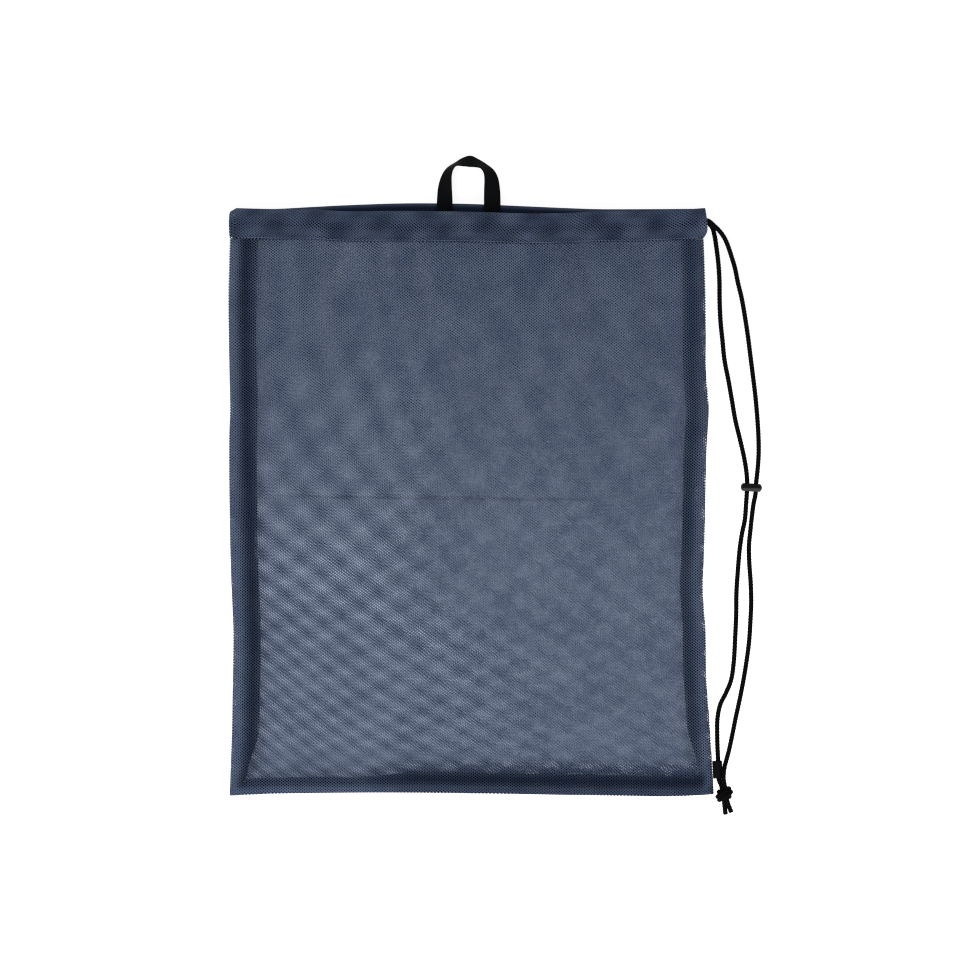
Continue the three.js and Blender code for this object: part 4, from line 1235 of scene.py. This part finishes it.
def spot_phases(x, y):
    """Turns of both sets of spot rows. The first set hangs from the hem as a fan of upright rows, leans over
    as the square of the way down, and crowds together at the lower left. The second set crosses it, and leans
    as the square of the way down too."""
    down = SPOT_ZERO - y
    rate, above = FIRST_ABOVE
    across = FIRST_ACROSS + past(-down, rate, -above) + past(down, *FIRST_BELOW)
    lean, leans_from = FIRST_LEAN
    first = across * (x + FIRST_FROM[0]) + FIRST_DOWN * (down + FIRST_FROM[1])
    first = first + lean * np.maximum(down - leans_from, 0) ** 2
    crowding, left_of, stretch = FIRST_CROWDS
    crowded = crowding * np.maximum(left_of - x, 0) ** 2 * ramp(down, *stretch)
    turns_across, turns_down, lean = SECOND_SET
    return first + crowded, turns_across * x + turns_down * down + lean * down ** 2


# Evenness of the back's knit: off the clear rows of spots, among them, to the right and at the foot
EVEN_PLAIN = 0.34
EVEN_SPOTS = 0.06
EVEN_RIGHT = 0.66
EVEN_FOOT = 0.6
# Height and half width of the clear rows, and start and length of each change: to the top, to the lower part,
# to the right (its length at the top and in the lower part) and to the foot
CLEAR_ROWS = (-0.075, 0.055)
TO_TOP = (-0.02, 0.15)
TO_LOWER = (-0.09, 0.06)
TO_RIGHT = (-0.13, (0.14, 0.26))
TO_FOOT = (-0.215, 0.030)
# Wander of the back's knit: everywhere, more at the top and more to the right
BACK_SLIP = (0.0004, 0.0002, 0.0028)
# painted shade on the back where its knit is closed
BACK_PAINTED_SHADE = 0.9  # darkness of the back where its knit is closed
HAZE_ENDS = 0.2  # closing at which no haze is left


def back_looks(x, y):
    """The back's values: darkened by painted shade where its knit is closed at the edges, and evened out, so
    that the rows of spots fade, towards the right, the foot and the top."""
    start, lengths = TO_RIGHT
    lower = ramp(-y, -TO_LOWER[0], TO_LOWER[1])
    rightward = ramp(x, start, blend(*lengths, lower))
    foot = ramp(-y, -TO_FOOT[0], TO_FOOT[1])
    closed = openness(x, y, 1.0)
    spots = blend(EVEN_PLAIN, EVEN_SPOTS, bell(y - CLEAR_ROWS[0], CLEAR_ROWS[1]))
    even = np.maximum(spots, np.maximum(EVEN_RIGHT * rightward, EVEN_FOOT * foot))
    slip, more_at_top, more_to_right = BACK_SLIP
    return {
        # painted shade over the allowances and where the back's knit is closed
        "doubled": np.maximum(seam_shade(x, y), BACK_PAINTED_SHADE * np.clip(closed, 0, 1)),
        "closed": closed,
        "slip": slip + more_at_top * ramp(y, *TO_TOP) + more_to_right * rightward,
        "haze": np.maximum(even, edge_haze(x, y)) * (1 - np.clip(closed / HAZE_ENDS, 0, 1)),
    }


def back_panel(cloth):
    """The back panel lies flat. Its lattice is the front's, shifted across by half a repeat for each turn of
    the sum of the spot rows and along by half a repeat for each turn of their difference."""
    x, y = panel_places(back_rim, *(uneven_shares(*row) for row in BACK_GRID), PANEL_CLEAR)
    z = np.full_like(x, 0.5 * cloth.thickness)
    u, v = stretched(x, y)
    first, second = spot_phases(x, y)
    u = u + cloth.across * (first + second) / 2
    v = v + cloth.along * (first - second) / 2
    middle = np.stack([x, y, z], axis=-1)
    return wall(middle, cloth.thickness, np.stack([u, v], axis=-1), values=back_looks(x, y))


def seam_inward(side, s, height):
    """Distance from a side edge of a place s across its allowance, at a height above the corner."""
    inset, width = SIDE_SEAMS[0 if side < 0 else 1]
    return inset + s * width * blend(SEAM_CORNER[0], 1.0, smooth_step(height / SEAM_CORNER[1]))


def seam_upward(x, s):
    """Distance from the bottom edge of a place s across its allowance."""
    (start, inset, width), (end, end_inset, end_width) = BOTTOM_SEAM
    share = smooth_step((x - start) / (end - start))
    return blend(inset, end_inset, share) + s * blend(width, end_width, share)


# Allowances: places across and along, thickness and closing of the knit at their edges, power of the swell
# between the edges, wander of the knit, and stretch and shift of the lower ply's lattice
SEAM_GRID = (15, 240)
SEAM_EDGE = 0.0006
SEAM_EDGE_CLOSED = 0.1
SEAM_SWELL = 0.7
SEAM_SLIP = 0.0005
LOWER_STRETCH = (0.98, 1.03)
LOWER_SHIFT = 0.0011


def seam_grid(place):
    """A seam allowance from a function that gives its places: its thickness swells from its edges as a power
    of sin πs, s being the share of the way across it."""
    s, t = np.meshgrid(*(np.linspace(0, 1, count) for count in SEAM_GRID))
    x, y = place(s, t)
    swell = np.sin(np.pi * s) ** SEAM_SWELL
    z = np.full_like(x, SEAM_LEVEL)
    uv = np.stack([x, y], axis=-1)
    lower = np.stack([x * LOWER_STRETCH[0] + LOWER_SHIFT, y * LOWER_STRETCH[1]], axis=-1)
    values = {
        # painted shade: the allowances lie in shade between the plies, so their yarn takes the folded colour
        # in full
        "doubled": np.ones_like(x),
        "closed": blend(SEAM_EDGE_CLOSED, 1.0, swell),
        "slip": np.full_like(x, SEAM_SLIP),
        "haze": np.zeros_like(x),
    }
    return wall(np.stack([x, y, z], axis=-1), blend(SEAM_EDGE, SEAM_THICK, swell), uv, lower, values)


def side_seam(side):
    """A side allowance from its mitre at the bottom corner to the hem. Side is -1 on the left and 1 on the
    right."""
    edge = left_edge if side < 0 else right_edge

    def place(s, t):
        """x and y at a share s across the allowance and t up it."""
        corner = edge(SIDE_EDGES[0, 0]) - side * seam_inward(side, s, 0.0)
        bottom = bottom_edge(corner) + seam_upward(corner, s)
        top = back_rim(edge(SIDE_EDGES[-1, 0]) - side * seam_inward(side, s, 1.0)) - HEM_HEIGHT - 2 * SEAT
        y = blend(bottom, top, t)
        return edge(y) - side * seam_inward(side, s, y - bottom), y

    return seam_grid(place)


def bottom_seam():
    """The bottom allowance between the two mitres."""

    def place(s, t):
        """x and y at a share s across the allowance and t along it."""
        level = bottom_edge(0.0) + seam_upward(0.0, s)
        left = left_edge(level) + seam_inward(-1, s, 0.0) + MITRE_GAP
        right = right_edge(level) - seam_inward(1, s, 0.0) - MITRE_GAP
        x = blend(left, right, t)
        return x, bottom_edge(x) + seam_upward(x, s)

    return seam_grid(place)


def hem_stations(right_end, run, turn):
    """Stations along the hem: the front run to the left end, a half round, and the back run. Each has its
    place, height, outward angle, rim and how far its tips settle to the surface."""
    middle = HEM_THICK / 2
    turn_radius = (front_low() - middle) / 2
    turn_height = (front_low() + middle) / 2
    turn_x = HEM_LEFT_END + turn_radius + middle
    front_x = np.linspace(right_end, turn_x, run)
    share = np.linspace(0, 1, turn + 1)[1:-1]
    out = np.pi / 2 + np.pi * share
    turn_rim = blend(front_rim(turn_x), back_rim(turn_x), share)
    back_x = front_x[::-1]
    turn_z = turn_height + turn_radius * np.sin(out)
    return {
        "x": np.concatenate([front_x, turn_x + turn_radius * np.cos(out), back_x]),
        "z": np.concatenate([front_hem_height(front_x), turn_z, np.full(run, middle)]),
        "out": np.concatenate([np.full(run, np.pi / 2), out, np.full(run, 1.5 * np.pi)]),
        "settle": np.concatenate([np.zeros(run), share, np.ones(run)]),
        "rim": np.concatenate([front_rim(front_x), turn_rim, back_rim(back_x)]),
    }


# Right ends of the hem: share of the half height from its middle line, and how far the end stands out there.
HEM_END = np.array([(-1.0, -0.0030), (-0.7, -0.0002), (-0.38, 0.0010), (0.4, 0.0001), (1.0, -0.0013)])
HEM_END_REACH = 0.012
HEM_CORNER = 0.2  # share of the half height that the upper corner loses at the left end


def hem_rings(stations, half_height, half_thick, angle, settle_share):
    """Rings of the hem's lens-shaped section: half_height cos a along the hem's height and half_thick |sin a|
    to a power off its middle. The tips of the back run settle to the surface, the upper corner is rounded off
    at the left end, and the right ends bulge."""
    turned = np.sin(np.pi * stations["settle"])[:, None]
    up = np.cos(angle)[None]
    along = half_height * (up - HEM_CORNER * turned * np.maximum(up, 0))
    full = half_thick * np.abs(np.sin(angle))[None] ** HEM_FULLNESS
    settled = stations["settle"][:, None] * settle_share * (half_thick - full)
    off = np.sign(np.sin(angle))[None] * full + settled
    near_end = ramp(stations["x"], HEM_RIGHT_END - HEM_END_REACH, HEM_END_REACH)[:, None]
    stand = through(HEM_END[:, 0], HEM_END[:, 1], along / (HEM_HEIGHT / 2))
    x = stations["x"][:, None] + off * np.cos(stations["out"])[:, None] + near_end * stand
    y = stations["rim"][:, None] - HEM_HEIGHT / 2 + along
    z = stations["z"][:, None] + off * np.sin(stations["out"])[:, None]
    return np.stack([x, y, z], axis=-1)


HEM_SIDES = 44
HEM_TIP_WALL = 2.2  # thickness of the wall at the tips of the hem's section, in plies
HEM_SLIP = 0.0006

# Waves along the hem: height, wavelength, turns round the section and phase. The first shift its knit, and
# the others vary the painted shade on its yarn about a mean.
HEM_SHIFTS = ((0.0012, 0.09, 1.3, 0.0), (0.0010, 0.047, -1.0, 1.0))
HEM_SHADE_PATCHES = ((0.12, 0.052, 1.4, 0.0), (0.09, 0.033, -2.1, 2.0))
HEM_PAINTED_SHADE = 0.50
HEM_LEAN = 0.7  # share of the shift along the hem that its knit also has round the section

# Looks of the hem by the sine or cosine round its section: where the inside of the mouth, in painted
# shadow, begins and how fast, start and length of its lip, and the roll at its right end, with distance and
# width along and round it
HEM_INSIDE = (0.4, 3.0)
HEM_LIP = (0.7, 0.2)
HEM_ROLL = ((0.003, 0.004), (0.15, 0.5))
# Painted light on the roll and on the lip, which lightens their painted shade, closing of the inside with
# what it is less by, of the left end and of the lip
ROLL_LIGHT = 0.9
LIP_LIGHT = 0.35
INSIDE_CLOSED = (1.1, 0.09)
END_CLOSED = 0.3
LIP_CLOSED = 0.45


def hem_waves(rows, length, share):
    """The sum of sine waves that run along the hem and lean round its section."""
    return sum(
        height * np.sin(2 * np.pi * (length / wave + turns * share) + phase)
        for height, wave, turns, phase in rows)


def hem_looks(stations, angle, yarn):
    """The hem's values: painted shade makes its yarn dark on the inside of the mouth, where its knit is also
    closed, lighter on its lip there, and lightest where its right end rolls over."""
    size = (len(stations["x"]), len(angle))
    inside = np.broadcast_to(smooth_step(HEM_INSIDE[0] - HEM_INSIDE[1] * np.sin(angle)), size)
    lip = np.broadcast_to(ramp(np.cos(angle), *HEM_LIP), size)
    turned = np.sin(np.pi * stations["settle"])[:, None]
    (from_end, end_width), (round_at, round_width) = HEM_ROLL
    at_end = bell(stations["x"][:, None] - HEM_RIGHT_END + from_end, end_width)
    roll_painted_light = at_end * bell(np.cos(angle)[None] + round_at, round_width)
    share, less = INSIDE_CLOSED
    closed = np.maximum(share * inside - less, END_CLOSED * turned)
    return {
        # painted shade: the hem's mean shade, painted shadow inside the mouth, and painted light on the lip
        # and roll
        "doubled": blend(yarn * (1 - ROLL_LIGHT * roll_painted_light), 1.0, inside) * (1 - LIP_LIGHT * inside * lip),
        "closed": np.maximum(closed, LIP_CLOSED * lip),
        "slip": np.full(size, HEM_SLIP),
        "haze": np.zeros(size),
    }


def hem_cloth(cloth):
    """The hem: a sleeve round the mouth between two sets of lens-shaped rings."""
    stations = hem_stations(HEM_RIGHT_END, run=200, turn=24)
    angle = 2 * np.pi * np.arange(HEM_SIDES) / HEM_SIDES
    settle = 1 - 2 * cloth.thickness / HEM_THICK
    outer = hem_rings(stations, HEM_HEIGHT / 2, HEM_THICK / 2, angle, settle)
    inner_size = (HEM_HEIGHT / 2 - HEM_TIP_WALL * cloth.thickness, HEM_THICK / 2 - cloth.thickness)
    inner = hem_rings(stations, *inner_size, angle, settle)
    middle = np.stack([stations["x"], stations["rim"], stations["z"]], axis=1)
    length = lengths_along(middle)[:, None]
    share = np.arange(HEM_SIDES + 1) / HEM_SIDES
    section = np.stack([
        HEM_HEIGHT / 2 * np.cos(2 * np.pi * share), HEM_THICK / 2 * np.sin(2 * np.pi * share)], axis=1)
    around = lengths_along(section)[None]
    waves = hem_waves(HEM_SHIFTS, length, share[None])
    uv = np.stack(np.broadcast_arrays(length + waves, around + HEM_LEAN * waves), axis=-1)
    # painted shade of the hem's yarn, varying about a mean
    yarn = HEM_PAINTED_SHADE + hem_waves(HEM_SHADE_PATCHES, length, share[None, :-1])
    return tunnel(outer, inner, uv, hem_looks(stations, angle, yarn))


# Stitches of the hem: distance from one to the next, length, width, height above the hem's lower tip, and
# rings and sides of each
STITCH_STEP = 0.0031
STITCH_LENGTH = 0.0024
STITCH_WIDTH = 0.0007
STITCH_RISE = 0.0014
STITCH_ENDS = (0.010, 0.006)  # from the hem's left and right ends
STITCH_RINGS = 5
STITCH_SIDES = 6


def stitches(places, ahead, up, length, width):
    """A row of stitches: each a small spindle, whose rings shrink as sin a and whose length follows cos a."""
    side = np.cross(up, ahead)
    polar = np.linspace(0, np.pi, STITCH_RINGS + 2)[1:-1]
    angle = 2 * np.pi * np.arange(STITCH_SIDES) / STITCH_SIDES
    ring = 0.5 * width * np.sin(polar)[:, None]
    lengthwise = 0.5 * length * np.cos(polar)[:, None]
    local = np.stack(np.broadcast_arrays(lengthwise, ring * np.cos(angle), ring * np.sin(angle)), axis=-1)
    local = local.reshape(-1, 3)
    local = np.concatenate([local, [(0.5 * length, 0, 0), (-0.5 * length, 0, 0)]])
    basis = np.stack([ahead, side, up], axis=1)
    points = places[:, None] + np.einsum("pk,nkc->npc", local, basis)
    one = [cells(STITCH_RINGS - 1, STITCH_SIDES, STITCH_SIDES), *end_fans(STITCH_RINGS, STITCH_SIDES)]
    start = (np.arange(len(places)) * len(local))[:, None, None]
    faces = [(corners[None] + start).reshape(-1, corners.shape[1]) for corners in one]
    points = points.reshape(-1, 3)
    return outward(Surface(points, faces, [points[f][..., :2] for f in faces]))


def hem_stitches():
    """The row of stitches along the front hem, on its upper face just above its lower tip."""
    x = np.arange(HEM_LEFT_END + STITCH_ENDS[0], HEM_RIGHT_END - STITCH_ENDS[1], STITCH_STEP)
    up = STITCH_RISE / (HEM_HEIGHT / 2) - 1
    stand = HEM_THICK / 2 * (1 - up ** 2) ** (HEM_FULLNESS / 2)
    places = np.stack([x, front_rim(x) - HEM_HEIGHT + STITCH_RISE, front_hem_height(x) + stand], axis=1)
    ahead = unit(np.gradient(places, axis=0))
    upright = np.cross(ahead, np.cross(UP, ahead))
    return stitches(places, ahead, upright, STITCH_LENGTH, STITCH_WIDTH)


# Webbing and tape

LOOP_STEPS = 420
LOOP_PLACES = 21  # places across the webbing
LOOP_RELIEF = 0.00016  # height of its ribs
LOOP_EDGE = 0.62  # thickness at its edges, as a share
TAB_RELIEF = 0.00008


def loop_webbing(webbing):
    """The hang loop: a wall ruled between the two edge curves, with ribs across it."""
    t = np.linspace(0, 1, LOOP_STEPS)
    outer = curve_through(LOOP_EDGES[:, 0], t)
    inner = curve_through(LOOP_EDGES[:, 1], t)
    s = np.linspace(0, 1, LOOP_PLACES)
    middle = blend(outer[:, None], inner[:, None], s[None, :, None])
    along = lengths_along(middle[:, LOOP_PLACES // 2])[:, None]
    width = np.linalg.norm(inner - outer, axis=1)[:, None] * s[None]
    edge = np.minimum(1, np.sin(np.pi * s) * 4)[None]
    thick = (webbing.thickness - LOOP_RELIEF) * blend(LOOP_EDGE, 1.0, edge)
    thick = thick + LOOP_RELIEF * np.cos(2 * np.pi * along / webbing.rib)
    uv = np.stack(np.broadcast_arrays(along, width), axis=-1)
    return wall(middle, thick, uv)


def tab_tape(webbing):
    """The side tab: tape carried along the seam on a profile of two plies and the round fold between them."""
    outer = TAB_BEND + TAB_TAPE
    middle = TAB_BEND + TAB_TAPE / 2
    upper = TAB_TAPE + 1.5 * SEAT + TAB_TAPE / 2
    to_seam = np.array((-TAB_REACH, upper - outer))
    touch = np.arctan2(to_seam[1], to_seam[0]) % (2 * np.pi) - np.arccos(middle / np.linalg.norm(to_seam))
    ply, round_fold, along_seam = TAB_STEPS
    bend = np.linspace(-np.pi / 2, touch, round_fold)
    flat = np.linspace(0, TAB_REACH, ply)[:-1]
    low = np.stack([flat, np.full_like(flat, TAB_TAPE / 2)], axis=1)
    fold = np.stack([TAB_REACH + middle * np.cos(bend), outer + middle * np.sin(bend)], axis=1)
    high = blend(fold[-1], np.array((0.0, upper)), np.linspace(0, 1, ply)[1:, None])
    profile = np.concatenate([low, fold, high])
    place = np.linspace(-0.5, 0.5, along_seam) * TAB_LENGTH
    grid = np.empty((len(place), len(profile), 3))
    grid[..., 0] = profile[None, :, 0]
    grid[..., 1] = place[:, None]
    grid[..., 2] = profile[None, :, 1]
    edge_low = right_edge(TAB_Y - TAB_LENGTH / 2)
    edge_high = right_edge(TAB_Y + TAB_LENGTH / 2)
    lean = np.arctan2(edge_low - edge_high, TAB_LENGTH)
    turned = swung(grid, lean) + np.array(((edge_low + edge_high) / 2 + TAB_OFF_EDGE, TAB_Y, 0))
    length = lengths_along(profile)
    thick = TAB_TAPE - TAB_RELIEF + TAB_RELIEF * np.cos(2 * np.pi * length / webbing.rib)
    uv = np.stack(np.broadcast_arrays(length[None], place[:, None]), axis=-1)
    return wall(turned, np.broadcast_to(thick[None], grid.shape[:2]), uv)


# Operators

def bag_settings(context):
    """The bag's settings in the scene."""
    return context.scene.swim_bag


class SWIMBAG_OT_stage(Operator):
    """Sets the camera straight above the bag, with a pale floor and soft studio light"""

    bl_idname = "swim_bag.stage"
    bl_label = "Camera, floor and light"

    def execute(self, context):
        add_stage(context.scene, bag_settings(context).stage)
        return {"FINISHED"}


class SWIMBAG_OT_bead(Operator):
    """Makes the two-hole bead that slides on both strands"""

    bl_idname = "swim_bag.bead"
    bl_label = "Bead"

    def execute(self, context):
        bead = bag_settings(context).bead
        plastic = moulded_plastic("grey_moulded_plastic", bead)
        add_piece("drawcord_bead", bead_surface(bead), plastic, ("cord_bead",))
        return {"FINISHED"}


class SWIMBAG_OT_knot(Operator):
    """Ties the knot at the end of the strands and lays their tails"""

    bl_idname = "swim_bag.knot"
    bl_label = "Knot and tails"

    def execute(self, context):
        cord = bag_settings(context).cord
        black = braided_cord("black_braid_of_knot", cord)
        strands = [lying_cord(laid(strand, cord), cord, CORD_SIDES, cord.fuzz) for strand in KNOT_STRANDS]
        add_piece("drawcord_knot", joined([knot_wrap(cord), *strands]), black, ("cord_knot",))
        return {"FINISHED"}


class SWIMBAG_OT_drawcord(Operator):
    """Lays the cord inside the hem and both free strands, which run through the bead to the knot"""

    bl_idname = "swim_bag.drawcord"
    bl_label = "Drawcord"

    def execute(self, context):
        cord = bag_settings(context).cord
        black = braided_cord("black_braid", cord)
        hidden = lying_cord(hem_route(), cord, HIDDEN_CORD_SIDES, 0.0)
        add_piece("drawcord_in_hem", hidden, black, ("cord_in_hem",))
        rows = (("inner", INNER_STRAND, "drawcord_knot"), ("outer", OUTER_STRAND, "drawcord_bead"))
        for name, points, on_it in rows:
            path = laid(points, cord)
            surface = lying_cord(path, cord, CORD_SIDES, cord.fuzz)
            piece = add_piece(f"drawcord_{name}", surface, black, (f"cord_{name}",))
        return {"FINISHED"}


class SWIMBAG_OT_panels(Operator):
    """Lays the two mesh panels"""

    bl_idname = "swim_bag.panels"
    bl_label = "Front and back panels"

    def execute(self, context):
        cloth = bag_settings(context).cloth
        knit = mesh_cloth("navy_mesh", cloth)
        back = add_piece("back_cloth", back_panel(cloth), knit, ("back_panel",))
        front = add_piece("front_cloth", front_panel(cloth), knit, ("front_panel",))
        return {"FINISHED"}


class SWIMBAG_OT_seams(Operator):
    """Lays the folded seam allowances inside the side and bottom edges"""

    bl_idname = "swim_bag.seams"
    bl_label = "Seam allowances"

    def execute(self, context):
        knit = mesh_cloth("navy_mesh_folded", bag_settings(context).cloth)
        rows = (
            ("left_allowance", side_seam(-1), "left_seam", (0.0175, 0.52)),
            ("right_allowance", side_seam(1), "right_seam", (0.014, 0.52)),
            ("bottom_allowance", bottom_seam(), "bottom_seam", (0.0142, 0.44)),
        )
        for name, surface, node, flat in rows:
            piece = add_piece(name, surface, knit, (node,))
        return {"FINISHED"}


class SWIMBAG_OT_hem(Operator):
    """Makes the hem round the mouth and its row of stitches"""

    bl_idname = "swim_bag.hem"
    bl_label = "Hem and stitching"

    def execute(self, context):
        cloth = bag_settings(context).cloth
        knit = mesh_cloth("navy_mesh_hem", cloth)
        hem = add_piece("hem_cloth", hem_cloth(cloth), knit, ("hem_channel",))
        add_piece("hem_stitches", hem_stitches(), sewing_thread("navy_thread", cloth))
        return {"FINISHED"}


class SWIMBAG_OT_webbing(Operator):
    """Makes the hang loop of webbing and the side tab of tape"""

    bl_idname = "swim_bag.webbing"
    bl_label = "Hang loop and side tab"

    def execute(self, context):
        webbing = bag_settings(context).webbing
        black = ribbed_webbing("black_ribbed_webbing", webbing)
        loop = add_piece("loop_webbing", loop_webbing(webbing), black, ("hang_loop",))
        tab = add_piece("tab_tape", tab_tape(webbing), black, ("side_tab",))
        return {"FINISHED"}


class SWIMBAG_PT_sidebar(Panel):
    """Lists the bag's pieces and the sizes and colours that can be changed"""

    bl_idname = "SWIMBAG_PT_sidebar"
    bl_label = "Mesh swim bag"
    bl_space_type = "VIEW_3D"
    bl_region_type = "UI"
    bl_category = "Swim bag"

    def draw(self, context):
        settings = bag_settings(context)
        for operator in OPERATORS:
            self.layout.operator(operator.bl_idname)
        for name in settings.bl_rna.properties.keys():
            group = getattr(settings, name)
            if isinstance(group, PropertyGroup):
                box = self.layout.box()
                box.label(text=name.capitalize())
                for key in group.__annotations__:
                    box.prop(group, key)


SETTINGS = (StageSettings, ClothSettings, CordSettings, WebbingSettings, BeadSettings, SwimBagSettings)
OPERATORS = (
    SWIMBAG_OT_stage, SWIMBAG_OT_bead, SWIMBAG_OT_knot, SWIMBAG_OT_drawcord, SWIMBAG_OT_panels,
    SWIMBAG_OT_seams, SWIMBAG_OT_hem, SWIMBAG_OT_webbing)
CLASSES = (*SETTINGS, *OPERATORS, SWIMBAG_PT_sidebar)


def register():
    """Registers the classes and gives the scene its settings."""
    for cls in CLASSES:
        bpy.utils.register_class(cls)
    bpy.types.Scene.swim_bag = PointerProperty(type=SwimBagSettings)


def unregister():
    """Takes the settings and the classes away again."""
    del bpy.types.Scene.swim_bag
    for cls in reversed(CLASSES):
        bpy.utils.unregister_class(cls)


def main():
    register()
    bpy.ops.swim_bag.stage()
    bpy.ops.swim_bag.bead()
    bpy.ops.swim_bag.knot()
    bpy.ops.swim_bag.drawcord()
    bpy.ops.swim_bag.panels()
    bpy.ops.swim_bag.seams()
    bpy.ops.swim_bag.hem()
    bpy.ops.swim_bag.webbing()


if __name__ == "__main__":
    main()
